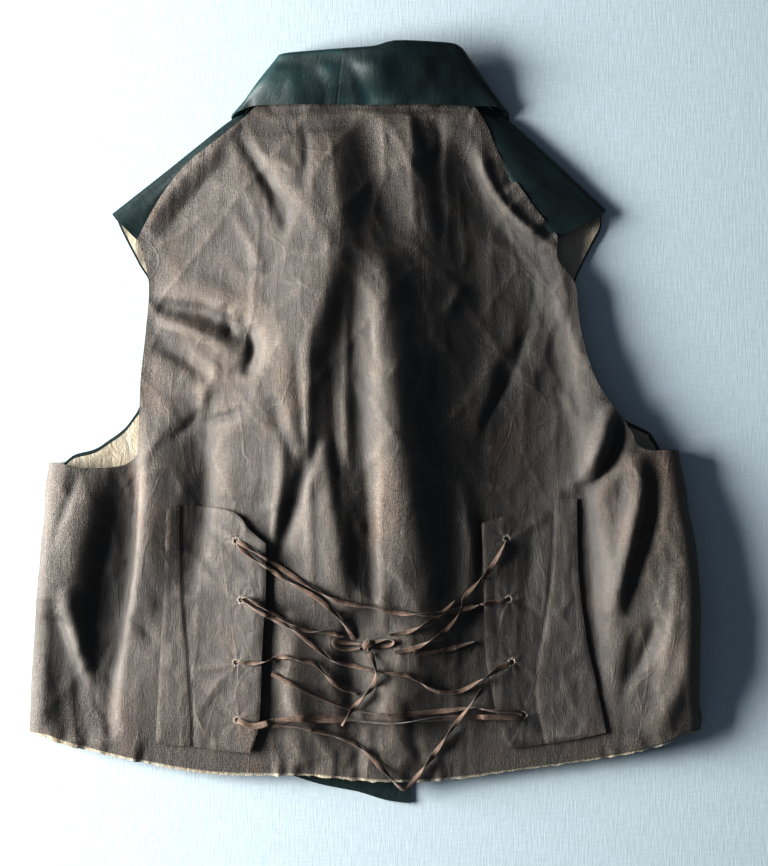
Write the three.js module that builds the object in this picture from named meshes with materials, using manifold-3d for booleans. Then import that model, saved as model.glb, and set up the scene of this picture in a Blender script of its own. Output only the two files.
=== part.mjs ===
// Man's waistcoat of the 1840s, laid face down: a brown glazed cotton back over two green
// satin fronts, a turn-down collar, and two lacing tabs drawn together by a narrow tape.
// Millimetres, +Z up, +Y towards the collar, origin on the table under the middle.
import * as THREE from 'three';
import { mergeVertices } from 'three/addons/utils/BufferGeometryUtils.js';
import Module from 'manifold-3d';

// ---------- driving dimensions ----------
const CLOTH = 1.5; // wall of a panel
const LINING = 1.0; // wall of a lining or facing
const COLLAR_CLOTH = 1.3; // wall of each layer of the collar
const GAP = 0.3; // between neighbours that touch
const ROLL_LEFT = 10; // reach of the side fold in from the left outline
const ROLL_RIGHT = 12; // the same on the right, where the body stands higher
const SHOULDER_ROLL = 5; // reach of the shoulder fold at its outer end
const NECK_ROLL = 3; // the same at its neck end
const HEM_PEEP = 2.6; // how far the lining shows below the back's hem
const HEM_DEPTH = 11; // how far the hem's lining goes up inside
const SIDE_GAP = 0.5; // between a side fold's lower edge and the front
const SEAM_GAP = 1.2; // between a shoulder flap and the back
const COLLAR_LIFT = 1.6; // how far a front rises over the collar that lies under it
const LACE = 2.4; // diameter of the lace
const EYELET_HOLE = 1.9; // radius of a worked eyelet's hole
const BUTTON_RADIUS = 7.5;
const BUTTON_THICKNESS = 2.4;
const BUTTON_X = 14; // the closing line
const BUTTON_LOW = -222; // lowest button
const BUTTON_PITCH = 48;
const BUTTON_COUNT = 6;
const FRONT_EDGE_LEFT = 33; // the left front laps over the closing line to here
const FRONT_EDGE_RIGHT = -10; // the right front ends here, inside
const TAB_REST = 0.6; // clearance of a tab over the back
const TAB_LIFT = 3.0; // rise of a tab's free inner edge
const LINING_RISE = CLOTH / 2 + GAP + LINING / 2; // from a panel's middle to its lining's middle
const LAP_RISE = CLOTH + LINING + 3 * GAP; // from the left front to the right one lapped on it
const BUTTON_RISE = BUTTON_THICKNESS + GAP;

// ---------- colours ----------
const BROWN = { color: 0x5d4b40, roughness: 0.5, metalness: 0 };
const GREEN = { color: 0x1b3632, roughness: 0.35, metalness: 0 };
const CREAM = { color: 0xd9cfae, roughness: 0.85, metalness: 0 };
const TAPE = { color: 0x7a5844, roughness: 0.7, metalness: 0 };
const HORN = { color: 0x1a1613, roughness: 0.3, metalness: 0 };

// ---------- outline of the back, x and y ----------
const BACK = {
  hem: [[-243.8, -234], [-221, -242], [-172, -254], [-115, -263], [-50, -264.5], [14, -269],
    [56, -268], [102, -262], [147, -256], [193, -248.5], [223, -241], [240, -232]],
  leftSide: [[-253.8, -234], [-251, -165], [-246, -104], [-242, -58.5], [-239, -30]],
  rightSide: [[252, -232], [253, -222], [251, -203], [252, -134.5], [248, -89], [242, -58.5],
    [236, -20.5]],
  leftUnderarm: [[-229, -30], [-221, -33.5], [-202, -34], [-183, -32], [-172, -24]],
  rightUnderarm: [[195, 2], [201, -8], [205, -17], [214, -20.5], [224, -20.5]],
  leftArmhole: [[-172, -24], [-171, -5], [-170, 33], [-166, 71], [-164, 105], [-170, 131.5],
    [-173, 139]],
  rightArmhole: [[195, 2], [191, 6], [178, 25], [169, 44], [163, 67], [160, 86], [158, 105],
    [145, 124], [145, 141]],
  leftShoulder: [[-173, 139], [-155, 171], [-135, 196], [-111, 214], [-85, 229]],
  rightShoulder: [[83, 238], [92, 223], [102, 200], [125, 166], [145, 141]],
  neck: [[-85, 229], [-75, 242], [-50, 250], [0, 251], [45, 250], [66, 246], [83, 238]],
};

// ---------- outline of the fronts ----------
const LEFT_FRONT = {
  hem: [[-243.2, -229.4], [-172, -250], [-115, -259], [-75, -261.5], [-61.6, -265.5], [-35, -274],
    [-5, -280], [15, -286], [FRONT_EDGE_LEFT, -288.5]],
  underarm: [[-228.5, -30], [-221, -24], [-206, -20], [-195, -13], [-183, -4], [-174, 8]],
  armhole: [[-174, 8], [-165, 30], [-159, 71], [-164, 105], [-172, 120], [-183, 141], [-189, 154]],
  neckline: [[FRONT_EDGE_LEFT, 25], [2, 43], [-8.5, 60.4], [-30.4, 94.6], [-52.6, 137.9],
    [-72.8, 181.2], [-88.2, 219], [-91.2, 230.1]],
  shoulderFold: [[-192, 158], [-150, 191], [-105, 226.5], [-93, 232.5]],
  foldOut: [-0.596, 0.803],
  edge: FRONT_EDGE_LEFT,
};
const RIGHT_FRONT = {
  hem: [[238.9, -228], [193, -243], [147, -250.5], [102, -256.5], [56, -262], [14, -263],
    [FRONT_EDGE_RIGHT, -262]],
  underarm: [[223.5, -20.5], [216, -8], [205, -2], [195, 3], [185, 11], [178, 17.5]],
  armhole: [[178, 17.5], [161, 48], [155, 78], [158, 105], [170, 131.5], [178, 147],
    [178.6, 157.3]],
  neckline: [[FRONT_EDGE_RIGHT, 25], [3, 42], [21, 64], [42.5, 97.5], [64, 137.7], [83, 181.6],
    [96, 218.4], [98.5, 230.3]],
  shoulderFold: [[182, 161], [140, 200], [110, 227], [100.5, 232.5]],
  foldOut: [0.678, 0.735],
  edge: FRONT_EDGE_RIGHT,
};
const JUNCTION_Y = 10; // where a front's body part meets its chest part at the closing edge

// ---------- height of the back's middle over the table, a row for each section ----------
const LOW_CLOTH = 9; // the back rests on the layers under it rather than sinking lower
const HEIGHT_STATIONS = [-240, -160, -80, 0, 80, 160, 240];
const HEIGHTS = [
  { y: -265, at: [11, 10, 11, 12, 11, 11, 14] },
  { y: -200, at: [14, 13, 17, 18, 13, 16, 18] },
  { y: -100, at: [15, 14, 19, 26, 16, 18, 20] },
  { y: -25, at: [14, 14, 19, 29, 19, 17, 18] },
  { y: 60, at: [12, 12, 20, 30, 20, 15, 17] },
  { y: 140, at: [10, 10, 19, 27, 18, 13, 14] },
  { y: 200, at: [9, 9, 16, 21, 14, 12, 13] },
  { y: 255, at: [9, 9, 11, 12, 12, 12, 12] },
];

// ---------- largest folds of the back: a path of a few points, the width of each flank and
// the height, where the left flank lies to the left on the way along the path ----------
const FOLDS = [
  { name: 'left crest', path: [[-27, 222], [-25, 125], [-49, 50], [-58, -60]], left: 17, right: 58, height: 9 },
  { name: 'middle ridge', path: [[-2, 150], [14, 101], [26, -20], [53, -190]], left: 16, right: 24, height: 7 },
  { name: 'valley inside it', path: [[-12, 131], [-8, 71], [-2, -5], [2, -134]], left: 11, right: 14, height: -4.5 },
  { name: 'valley beyond it', path: [[100, 170], [132, 60], [122, -60], [100, -160]], left: 18, right: 58, height: -6 },
  { name: 'waist ridge', path: [[-33, -13], [-24, -74], [-16, -142]], left: 8, right: 22, height: 4.5 },
  { name: 'waist crease', path: [[-36, -8], [-50, -51], [-67, -104]], left: 5, right: 7, height: -4 },
  { name: 'neck valley', path: [[-5, 234], [0, 207], [11, 162], [20, 124]], left: 9, right: 14, height: -4 },
  { name: 'neck ridge', path: [[22, 236], [32, 207], [44, 162], [49, 128]], left: 7, right: 12, height: 4.5 },
  { name: 'right shoulder ridge', path: [[82, 212], [93, 181], [104, 164], [121, 148], [147, 128]],
    left: 6, right: 8, height: 4.5 },
  { name: 'right shoulder hollow', path: [[73, 212], [85, 169], [102, 143], [136, 118]],
    left: 7, right: 14, height: -4.5 },
  { name: 'left shoulder crease', path: [[-99, 221], [-78, 188], [-59, 146]], left: 5, right: 5, height: -2.5 },
  { name: 'left armhole roll', path: [[-160, 99], [-115, 93], [-86, 68]], left: 12, right: 5, height: 3.5 },
  { name: 'left armhole hollow', path: [[-160, 88], [-115, 80], [-91, 57]], left: 5, right: 6, height: -4 },
  { name: 'left armhole ridge', path: [[-158, 75], [-122, 67], [-99, 52]], left: 5, right: 5, height: 4 },
  { name: 'left armhole crease', path: [[-160, 60], [-134, 48], [-113, 27]], left: 5, right: 7, height: -4 },
  { name: 'left hollow', path: [[-98, 84], [-86, 58], [-92, 34]], left: 8, right: 8, height: -3.5 },
  { name: 'left rim', path: [[-163, 34], [-164, -43], [-170, -104], [-181, -165], [-172, -230]],
    left: 20, right: 6, height: 5 },
  { name: 'left chest valley', path: [[-126, 24], [-121, -43], [-132, -130]], left: 10, right: 16, height: -5 },
  { name: 'left side valley', path: [[-177, -55], [-184, -104], [-192, -150], [-187, -195], [-181, -236]],
    left: 6, right: 13, height: -5.5 },
  { name: 'left side ridge', path: [[-208, -36], [-211, -104], [-222, -152]], left: 12, right: 16, height: 4.5 },
  { name: 'left corner valley', path: [[-239, -140], [-227, -188], [-213, -224]], left: 7, right: 8, height: -4 },
  { name: 'left flank ridge', path: [[-228, -136], [-218, -176], [-205, -204], [-196, -222]],
    left: 8, right: 6, height: 4 },
  { name: 'right chest ridge', path: [[116, 88], [98, 40], [79, -13]], left: 6, right: 12, height: 3 },
  { name: 'right chest ridge beyond', path: [[146, 93], [132, 48], [113, 2]], left: 6, right: 12, height: 2.5 },
  { name: 'right rim', path: [[157, 112], [163, 67], [183, 20]], left: 8, right: 14, height: 4.5 },
  { name: 'right armhole ridge', path: [[186, 17], [174, -21], [152, -54]], left: 7, right: 9, height: 6 },
  { name: 'right tuck', path: [[193, 0], [188, -24], [170, -50]], left: 6, right: 6, height: -5 },
  { name: 'right side ridge', path: [[206, -22], [205, -59], [198, -89], [187, -145]], left: 6, right: 9, height: 6 },
  { name: 'right side hollow', path: [[217, -26], [216, -59], [208, -93], [190, -157]], left: 7, right: 6, height: -5 },
  { name: 'right corner ridge', path: [[248, -120], [244, -173], [229, -211], [216, -240]],
    left: 9, right: 13, height: 4.5 },
];

// ---------- collar: edge of the fall, roll line and neck seam at each station, the height of
// the neck seam, the opening between the layers, and which way the fall faces, from 90 (up)
// round the side of the neck at 0 to -90 (down) ----------
const COLLAR_LEFT = [
  { edge: [-20, 242.4], fold: [-20, 280.5], seam: [-20, 251.8], z: 12, open: 3.4, faces: 90 },
  { edge: [-44, 242.4], fold: [-40, 279.5], seam: [-43, 251], z: 12, open: 3.4, faces: 90 },
  { edge: [-66, 242.4], fold: [-56, 278.5], seam: [-62, 249], z: 11.5, open: 3.4, faces: 88 },
  { edge: [-86, 241], fold: [-62, 277.5], seam: [-77, 245], z: 10, open: 3.2, faces: 62 },
  { edge: [-97, 233], fold: [-63, 276.5], seam: [-89.5, 237], z: 7, open: 2.4, faces: 0 },
  { edge: [-101.5, 230.5], fold: [-61, 271], seam: [-91, 235], z: 3.1, open: 2, faces: -64 },
  { edge: [-98, 222.5], fold: [-57, 262], seam: [-88.8, 228.5], z: 2.2, open: 1.55, faces: -88 },
  { edge: [-92, 215], fold: [-52, 252], seam: [-86, 220.5], z: 2.2, open: 1.55, faces: -90 },
  { edge: [-78, 178], fold: [-35, 205], seam: [-71.2, 182.2], z: 2.2, open: 1.55, faces: -90 },
  { edge: [-58, 135], fold: [-16, 158], seam: [-51, 138.8], z: 2.2, open: 1.55, faces: -90 },
  { edge: [-36, 92], fold: [0, 110], seam: [-28.8, 95.6], z: 2.2, open: 1.55, faces: -90 },
  { edge: [-14, 58], fold: [10, 72], seam: [-6.8, 62], z: 2.2, open: 1.55, faces: -90 },
  { edge: [-4, 42], fold: [8, 52], seam: [2.5, 45.4], z: 2.2, open: 1.55, faces: -90 },
];
const COLLAR_RIGHT = [
  { edge: [-19.4, 242.4], fold: [-19.4, 280.5], seam: [-19.4, 251.8], z: 12, open: 3.4, faces: 90 },
  { edge: [8, 242], fold: [6, 282], seam: [8, 252.3], z: 12, open: 3.4, faces: 90 },
  { edge: [24, 242], fold: [22, 286], seam: [24, 252.2], z: 12, open: 3.4, faces: 90 },
  { edge: [54, 242.4], fold: [50, 286], seam: [50, 251], z: 12, open: 3.4, faces: 90 },
  { edge: [78, 241.6], fold: [65, 285], seam: [70, 247], z: 11.5, open: 3.4, faces: 80 },
  { edge: [94, 239], fold: [70, 282], seam: [84, 243], z: 10.5, open: 3.2, faces: 52 },
  { edge: [103, 235], fold: [72, 278], seam: [95.5, 237.5], z: 7.5, open: 2.6, faces: 0 },
  { edge: [108, 231.5], fold: [70, 270], seam: [97, 234.5], z: 3.4, open: 2, faces: -62 },
  { edge: [106, 222.5], fold: [66, 261], seam: [95.4, 227.5], z: 2.2, open: 1.55, faces: -88 },
  { edge: [100, 214], fold: [60, 250], seam: [94, 219.5], z: 2.2, open: 1.55, faces: -90 },
  { edge: [88, 178], fold: [46, 205], seam: [81.3, 182.4], z: 2.2, open: 1.55, faces: -90 },
  { edge: [69, 134], fold: [33, 158], seam: [62.4, 138.5], z: 2.2, open: 1.55, faces: -90 },
  { edge: [47, 94], fold: [26, 112], seam: [41, 99], z: 2.2, open: 1.55, faces: -90 },
];

// ---------- lacing tabs: four edges and the eyelets ----------
const TAB_LEFT = {
  outer: [[-158.5, -242], [-155, -179], [-152, -125], [-150, -64]],
  inner: [[-87, -248.5], [-81, -230], [-79, -206], [-77.5, -166], [-75, -125], [-75, -90.5]],
  top: [[-150, -64], [-139, -62.5], [-127, -62.5], [-99, -67.5], [-87, -80.5], [-75, -90.5]],
  bottom: [[-158.5, -242], [-133, -244], [-111, -247], [-87, -248.5]],
  eyelets: [[-97.3, -88.9], [-93.5, -133], [-97.3, -180.1], [-96.5, -223.4]],
  liftFrom: -118,
  liftTo: -76,
};
const TAB_RIGHT = {
  outer: [[181, -233.3], [174, -198], [167, -165.7], [162, -127.7], [160, -99.6], [159.6, -57.4]],
  inner: [[108.7, -246.2], [99.6, -225], [94.2, -198], [89.7, -169.9], [89, -127.7], [87.4, -75.6]],
  top: [[159.6, -57.4], [140.6, -57.4], [131, -59.3], [118, -65.4], [99.6, -72.2], [87.4, -75.6]],
  bottom: [[181, -233.3], [161, -237.9], [127.7, -243.2], [108.7, -246.2]],
  eyelets: [[106.4, -87.4], [107.9, -133], [110.2, -180.1], [119.3, -220.4]],
  liftFrom: 132,
  liftTo: 90,
};

// ---------- lace: each stretch's route by hand, [x, y, height over the cloth], and its steps ----------
const LACES = [
  { name: 'lace_top_across', steps: 8, route: [[-96.5, -88.2, 0], [-76, -101.1, 0], [-55.5, -114, 0],
    [-41, -123, 0], [-23.6, -132.5, 0], [-6.1, -136.8, 0], [11.4, -139.8, 0], [28.1, -142.9, 0],
    [48, -143.4, 3], [66, -141.5, 3], [88.9, -136.8, 0], [106, -133, 0]] },
  { name: 'lace_top_to_knot', steps: 6, route: [[-95.5, -93.4, 0], [-78, -105.8, 1.2], [-61.6, -116.5, 0],
    [-41, -128.4, 0], [-28, -138, 0], [-17.5, -149.7, 0], [-9, -162, 0]] },
  { name: 'lace_second_across', steps: 9, route: [[-94.2, -131.8, 0], [-80.6, -141.1, 1.2], [-58.5, -152.6, 1.2],
    [-46.4, -161.5, 0], [-32.7, -172.5, 0], [-25.1, -178.5, 0], [-8, -183, 0], [15.2, -187.7, 0],
    [32.7, -190, 0], [48, -199.5, 0], [58.5, -202.9, 0], [71.4, -202.2, 0], [85.1, -194.6, 3],
    [98, -186, 3], [109, -180.6, 0.4]] },
  { name: 'lace_second_to_knot', steps: 6, route: [[-92.6, -128.4, 0], [-79, -137, 1], [-62, -147.6, 1],
    [-52, -153, 0.5], [-40, -156.6, 0], [-28, -157.2, 0], [-17, -160.5, 0]] },
  { name: 'lace_third_to_tail', steps: 5, route: [[-97.3, -180.1, 0], [-77.5, -179.7, 0], [-63.1, -175.5, 0],
    [-50.2, -177.8, 0], [-38.8, -180.4, 0], [-27.4, -192.3, 0], [-16, -201, 0], [-7, -204, 0]] },
  { name: 'lace_under_tab', steps: 6, route: [[-71, -188.6, 0], [-48.6, -199.1, 0], [-33.4, -206.7, 0],
    [-19, -212.6, 0], [-7, -216.4, 0], [12.9, -219.4, 0], [50, -217.8, 0], [80, -215, 1.5],
    [98, -216.4, 3.4], [117.5, -217.2, 1.2]] },
  { name: 'lace_bottom_across', steps: 8, route: [[-96.5, -223.4, 0.6], [-84, -227.6, 1.6], [-72.2, -225, 4.4],
    [-52.4, -222.2, 1.5], [-33.4, -222.6, 0], [-14.4, -223.6, 0], [5.3, -225.4, 0], [24.3, -225.7, 0],
    [45.6, -223.6, 0], [71.4, -222, 1], [98, -221.4, 1], [118, -223, 0.6]] },
  { name: 'lace_slack_loop', steps: 11, route: [[-70, -227.6, 0], [-47.1, -229.4, 0], [-27.4, -234.6, 0],
    [-9.1, -241.7, 0], [4.6, -252.3, 0], [17, -265.5, 1.5], [23, -272.5, 1], [28.9, -276.4, -1],
    [34, -272.5, 1], [39, -266, 1.5], [52.4, -248.5, 0], [63, -233, 1.5], [71, -222, 5.6],
    [77, -214.6, 5.8], [82, -208, 3.5], [88, -201, 1]] },
  { name: 'lace_right_to_knot', steps: 6, route: [[105.8, -89, 0], [98, -103.4, 0.4], [91.2, -113.2, 1],
    [75.5, -130, 1], [72.2, -140.6, 0], [58.5, -157.3, 0], [38, -168.4, 0], [22, -172, 0]] },
  { name: 'lace_right_short', steps: 4, route: [[67, -134, 0], [54.5, -145.2, 0], [44, -151.4, 0],
    [32, -156.6, 0], [18, -159, 0]] },
  { name: 'lace_right_stray', steps: 3, route: [[36, -172.6, 0], [48, -172.8, 0], [62, -170.4, 0],
    [82, -165, 0]] },
  { name: 'lace_tail', steps: 6, route: [[3, -172.9, 0.6], [7, -182.5, 3], [7.5, -190, 3],
    [4.6, -199.1, 0], [-2.3, -206.5, 3], [-9.1, -214.3, 3], [-14, -221, 5.6], [-18, -227.6, 5]] },
];
// ---------- the bow: its knot and two loops ----------
const KNOT = { x: 2, y: -167, radius: 5.2, thickness: 5 };
const BOW_LOOPS = [
  { name: 'bow_left', steps: 5, route: [[-6, -171.5, 0], [-15.2, -170.2, 0], [-22.8, -167, 0],
    [-22.6, -163.6, 0], [-14, -165.2, 0]] },
  { name: 'bow_right', steps: 4, route: [[9.5, -167.6, 0], [17, -166.8, 0], [21, -163.6, 0],
    [16, -162.6, 0]] },
];

// ---------- small helpers ----------
const mix = (a, b, t) => a + (b - a) * t;

function smooth(from, to, value) {
  const k = Math.min(1, Math.max(0, (value - from) / (to - from)));
  return k * k * (3 - 2 * k);
}

function curve(points) {
  const spline = new THREE.SplineCurve(points.map(([x, y]) => new THREE.Vector2(x, y)));
  return (t) => spline.getPointAt(Math.min(1, Math.max(0, t))).toArray();
}

// One curve made of several, each with its share of the way.
function chain(pieces) {
  return (t) => {
    let start = 0;
    for (const [piece, share] of pieces) {
      if (t <= start + share + 1e-9) {
        return piece((t - start) / share);
      }
      start += share;
    }
    return pieces.at(-1)[0](1);
  };
}

// The patch between four edges, s across and t up.
function patch(bottom, top, left, right) {
  const corners = [bottom(0), bottom(1), top(0), top(1)];
  return (s, t) => [0, 1].map((k) => {
    const ruledUp = mix(bottom(s)[k], top(s)[k], t);
    const ruledAcross = mix(left(t)[k], right(t)[k], s);
    const low = mix(corners[0][k], corners[1][k], s);
    const high = mix(corners[2][k], corners[3][k], s);
    return ruledUp + ruledAcross - mix(low, high, t);
  });
}

function steps(from, to, count) {
  return Array.from({ length: count + 1 }, (_, i) => mix(from, to, i / count));
}

// Distance from a point to a polyline, how far along it the nearest place is, and the side.
function nearest(path, x, y) {
  let best = { distance: Infinity, along: 0, side: 1 };
  for (let i = 0; i + 1 < path.length; i += 1) {
    const [ax, ay] = path[i];
    const dx = path[i + 1][0] - ax;
    const dy = path[i + 1][1] - ay;
    const k = Math.min(1, Math.max(0, ((x - ax) * dx + (y - ay) * dy) / (dx * dx + dy * dy)));
    const distance = Math.hypot(x - ax - dx * k, y - ay - dy * k);
    if (distance < best.distance) {
      const side = dx * (y - ay) - dy * (x - ax) > 0 ? 1 : -1;
      best = { distance, along: (i + k) / (path.length - 1), side };
    }
  }
  return best;
}

// ---------- height of the back ----------
const FOLD_STEPS = 8;
const foldLines = FOLDS.map((fold) => ({ ...fold, line: steps(0, 1, FOLD_STEPS).map(curve(fold.path)) }));

// The even spline through a row of values, at a place counted from 0.
function cubic(values, place) {
  const index = Math.min(values.length - 2, Math.max(0, Math.floor(place)));
  const k = Math.min(1, Math.max(0, place - index));
  const [before, start, end, after] = [-1, 0, 1, 2].map(
    (d) => values[Math.min(values.length - 1, Math.max(0, index + d))],
  );
  const leave = (end - before) / 2;
  const arrive = (after - start) / 2;
  const cube = 2 * start - 2 * end + leave + arrive;
  const square = 3 * end - 3 * start - 2 * leave - arrive;
  return ((cube * k + square) * k + leave) * k + start;
}

function baseHeight(x, y) {
  const pitch = HEIGHT_STATIONS[1] - HEIGHT_STATIONS[0];
  const across = HEIGHTS.map((row) => cubic(row.at, (x - HEIGHT_STATIONS[0]) / pitch));
  const above = HEIGHTS.findIndex((row) => row.y > y);
  const low = above < 0 ? HEIGHTS.length - 2 : Math.max(0, above - 1);
  const up = (y - HEIGHTS[low].y) / (HEIGHTS[low + 1].y - HEIGHTS[low].y);
  return cubic(across, low + Math.min(1, Math.max(0, up)));
}

function backHeight(x, y) {
  let z = baseHeight(x, y);
  for (const fold of foldLines) {
    const near = nearest(fold.line, x, y);
    const width = near.side > 0 ? fold.left : fold.right;
    const taper = Math.sin(Math.PI * Math.min(0.999, Math.max(0.001, near.along))) ** 0.6;
    z += fold.height * taper * Math.exp(-((near.distance / width) ** 2));
  }
  return z < LOW_CLOTH ? mix(LOW_CLOTH, z, 0.4) : z;
}

// ---------- cloth: a grid of middle points, given its wall ----------
class Cloth {
  constructor() {
    this.points = [];
    this.quads = [];
  }

  row(points) {
    return points.map((point) => this.points.push(new THREE.Vector3(...point)) - 1);
  }

  join(rows) {
    for (let r = 0; r + 1 < rows.length; r += 1) {
      for (let c = 0; c + 1 < rows[r].length; c += 1) {
        this.quads.push([rows[r][c], rows[r][c + 1], rows[r + 1][c + 1], rows[r + 1][c]]);
      }
    }
  }

  normals() {
    const normals = this.points.map(() => new THREE.Vector3());
    for (const quad of this.quads) {
      const [a, b, c, d] = quad.map((i) => this.points[i]);
      const across = new THREE.Vector3().subVectors(c, a);
      const normal = across.cross(new THREE.Vector3().subVectors(d, b));
      quad.forEach((i) => normals[i].add(normal));
    }
    return normals.map((normal) => normal.normalize());
  }

  moved(distance) {
    const normals = this.normals();
    const copy = new Cloth();
    copy.points = this.points.map((point, i) => point.clone().addScaledVector(normals[i], distance));
    copy.quads = this.quads;
    return copy;
  }

  solid(wall) {
    const count = this.points.length;
    const upper = this.moved(wall / 2).points;
    const lower = this.moved(-wall / 2).points;
    const positions = [...upper, ...lower].flatMap((point) => point.toArray());
    const index = [];
    const edges = new Map();
    for (const [a, b, c, d] of this.quads) {
      index.push(a, b, c, a, c, d);
      index.push(count + a, count + c, count + b, count + a, count + d, count + c);
      for (const [from, to] of [[a, b], [b, c], [c, d], [d, a]]) {
        if (!edges.delete(`${to}_${from}`)) {
          edges.set(`${from}_${to}`, [from, to]);
        }
      }
    }
    for (const [from, to] of edges.values()) {
      index.push(count + from, count + to, to, count + from, to, from);
    }
    const geometry = new THREE.BufferGeometry();
    geometry.setAttribute('position', new THREE.Float32BufferAttribute(positions, 3));
    geometry.setIndex(index);
    return geometry;
  }
}

// ---------- the back ----------
const SIDE_STEPS = 6; // round each side fold
const LEFT_COLUMNS = 5; // under the left arm
const RIGHT_COLUMNS = 3;
const SHOULDER_COLUMNS = 7;
const NECK_COLUMNS = 18;
const MIDDLE_COLUMNS = 2 * SHOULDER_COLUMNS + NECK_COLUMNS;
const BODY_ROWS = 18;
const CHEST_ROWS = 21;
const LEFT_SHARE = 0.125; // of the width at the underarm
const RIGHT_SHARE = 0.07;
const MIDDLE_SHARE = 1 - LEFT_SHARE - RIGHT_SHARE;

const shifted = (side, dx) => (t) => [side(t)[0] + dx, side(t)[1]];
const leftSide = curve(BACK.leftSide);
const rightSide = curve(BACK.rightSide);
const leftBase = shifted(leftSide, ROLL_LEFT);
const rightBase = shifted(rightSide, -ROLL_RIGHT);
const acrossChest = (t) => [
  mix(BACK.leftArmhole[0][0], BACK.rightArmhole[0][0], t),
  mix(BACK.leftArmhole[0][1], BACK.rightArmhole[0][1], t),
];
const underarms = chain([
  [curve(BACK.leftUnderarm), LEFT_SHARE],
  [acrossChest, MIDDLE_SHARE],
  [curve(BACK.rightUnderarm), RIGHT_SHARE],
]);
const bodyPatch = patch(curve(BACK.hem), underarms, leftBase, rightBase);
const shoulderShare = SHOULDER_COLUMNS / MIDDLE_COLUMNS;
const shoulders = chain([
  [curve(BACK.leftShoulder), shoulderShare],
  [curve(BACK.neck), NECK_COLUMNS / MIDDLE_COLUMNS],
  [curve(BACK.rightShoulder), shoulderShare],
]);
const chestPatch = patch(acrossChest, shoulders, curve(BACK.leftArmhole), curve(BACK.rightArmhole));
const bodyColumns = [
  ...steps(0, LEFT_SHARE, LEFT_COLUMNS),
  ...steps(LEFT_SHARE, 1 - RIGHT_SHARE, MIDDLE_COLUMNS).slice(1),
  ...steps(1 - RIGHT_SHARE, 1, RIGHT_COLUMNS).slice(1),
];

// Round a side fold from the top of the body down to the table.
function sideFold([x, y], out, reach, foldSteps) {
  const top = backHeight(x, y);
  const middle = (top + CLOTH / 2) / 2;
  return steps(0, Math.PI, foldSteps).slice(1).map((turn) => [
    x + out * reach * Math.sin(turn),
    y,
    middle + (top - middle) * Math.cos(turn),
  ]);
}

function bodyRow(t, foldSteps = SIDE_STEPS) {
  const flat = bodyColumns.map((s) => bodyPatch(s, t)).map(([x, y]) => [x, y, backHeight(x, y)]);
  const left = sideFold(flat[0], -1, ROLL_LEFT, SIDE_STEPS).slice(0, foldSteps);
  const right = sideFold(flat.at(-1), 1, ROLL_RIGHT, SIDE_STEPS).slice(0, foldSteps);
  return [...left.reverse(), ...flat, ...right];
}

function makeBack() {
  const cloth = new Cloth();
  const body = steps(0, 1, BODY_ROWS).map((t) => cloth.row(bodyRow(t)));
  cloth.join(body);
  const first = SIDE_STEPS + LEFT_COLUMNS;
  const shared = body.at(-1).slice(first, first + MIDDLE_COLUMNS + 1);
  const chest = steps(0, 1, CHEST_ROWS).slice(1).map((t) => cloth.row(
    steps(0, 1, MIDDLE_COLUMNS).map((s) => chestPatch(s, t)).map(([x, y]) => [x, y, backHeight(x, y)]),
  ));
  cloth.join([shared, ...chest]);
  return cloth.solid(CLOTH);
}

// The lining's edge: a strip under the hem that shows a little below it.
function makeHemLining() {
  const topOnly = SIDE_STEPS - 2;
  const hem = bodyRow(0, topOnly);
  const inside = bodyRow(1 / BODY_ROWS, topOnly);
  const along = (reach) => hem.map((point, i) => {
    const run = Math.hypot(point[0] - inside[i][0], point[1] - inside[i][1]);
    return point.map((value, k) => mix(value, inside[i][k], reach / run));
  });
  const cloth = new Cloth();
  cloth.join([-HEM_PEEP, 0, HEM_DEPTH].map((reach) => cloth.row(along(reach))));
  return cloth.moved(-LINING_RISE).solid(LINING);
}

// ---------- the fronts ----------
// Columns by distance from the closing edge, as shares of the width, from the side inwards.
const LEFT_FRONT_COLUMNS = [0, 0.13, 0.27, 0.41, 0.55, 0.67, 0.77, 0.835, 0.87, 0.9, 0.965, 1];
const RIGHT_FRONT_COLUMNS = [0, 0.15, 0.3, 0.43, 0.55, 0.64, 0.715, 0.778, 0.817, 0.889, 0.923, 0.961, 1];
const FACING_COLUMNS = LEFT_FRONT_COLUMNS.slice(-5);
const SIDE_COLUMNS = [0, 0.34, 0.67, 1];
const FRONT_BODY_ROWS = 11;
const FRONT_CHEST_ROWS = 10;
const FOLD_ROWS = 4;
const FLAP_ROWS = 2;
const EDGE_SHARE = 0.06; // of the chest's inner edge, up to the neckline's lowest point
const SIDE_WIDTH_SHARE = 0.2; // of a front's width at the underarm, out to the side

function buttonRidge(x, y, low = -263) {
  const across = smooth(-8, 3, x) * (1 - smooth(25, 33, x));
  return BUTTON_RISE * across * smooth(low, low + 11, y) * (1 - smooth(34, 50, y));
}

function neckLift(front, x, y) {
  return COLLAR_LIFT * (1 - smooth(13, 26, nearest(front.neckline, x, y).distance));
}

function leftFrontHeight(x, y) {
  return CLOTH / 2 + buttonRidge(x, y) + neckLift(LEFT_FRONT, x, y);
}

function rightFrontHeight(x, y) {
  const onLeftFront = 1 - smooth(36, 62, x);
  const overCollar = COLLAR_LIFT * smooth(-20, 10, y) * (1 - smooth(60, 110, y));
  const lap = onLeftFront * (LAP_RISE + overCollar) + buttonRidge(x, y, -280);
  return CLOTH / 2 + lap + neckLift(RIGHT_FRONT, x, y);
}

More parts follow.
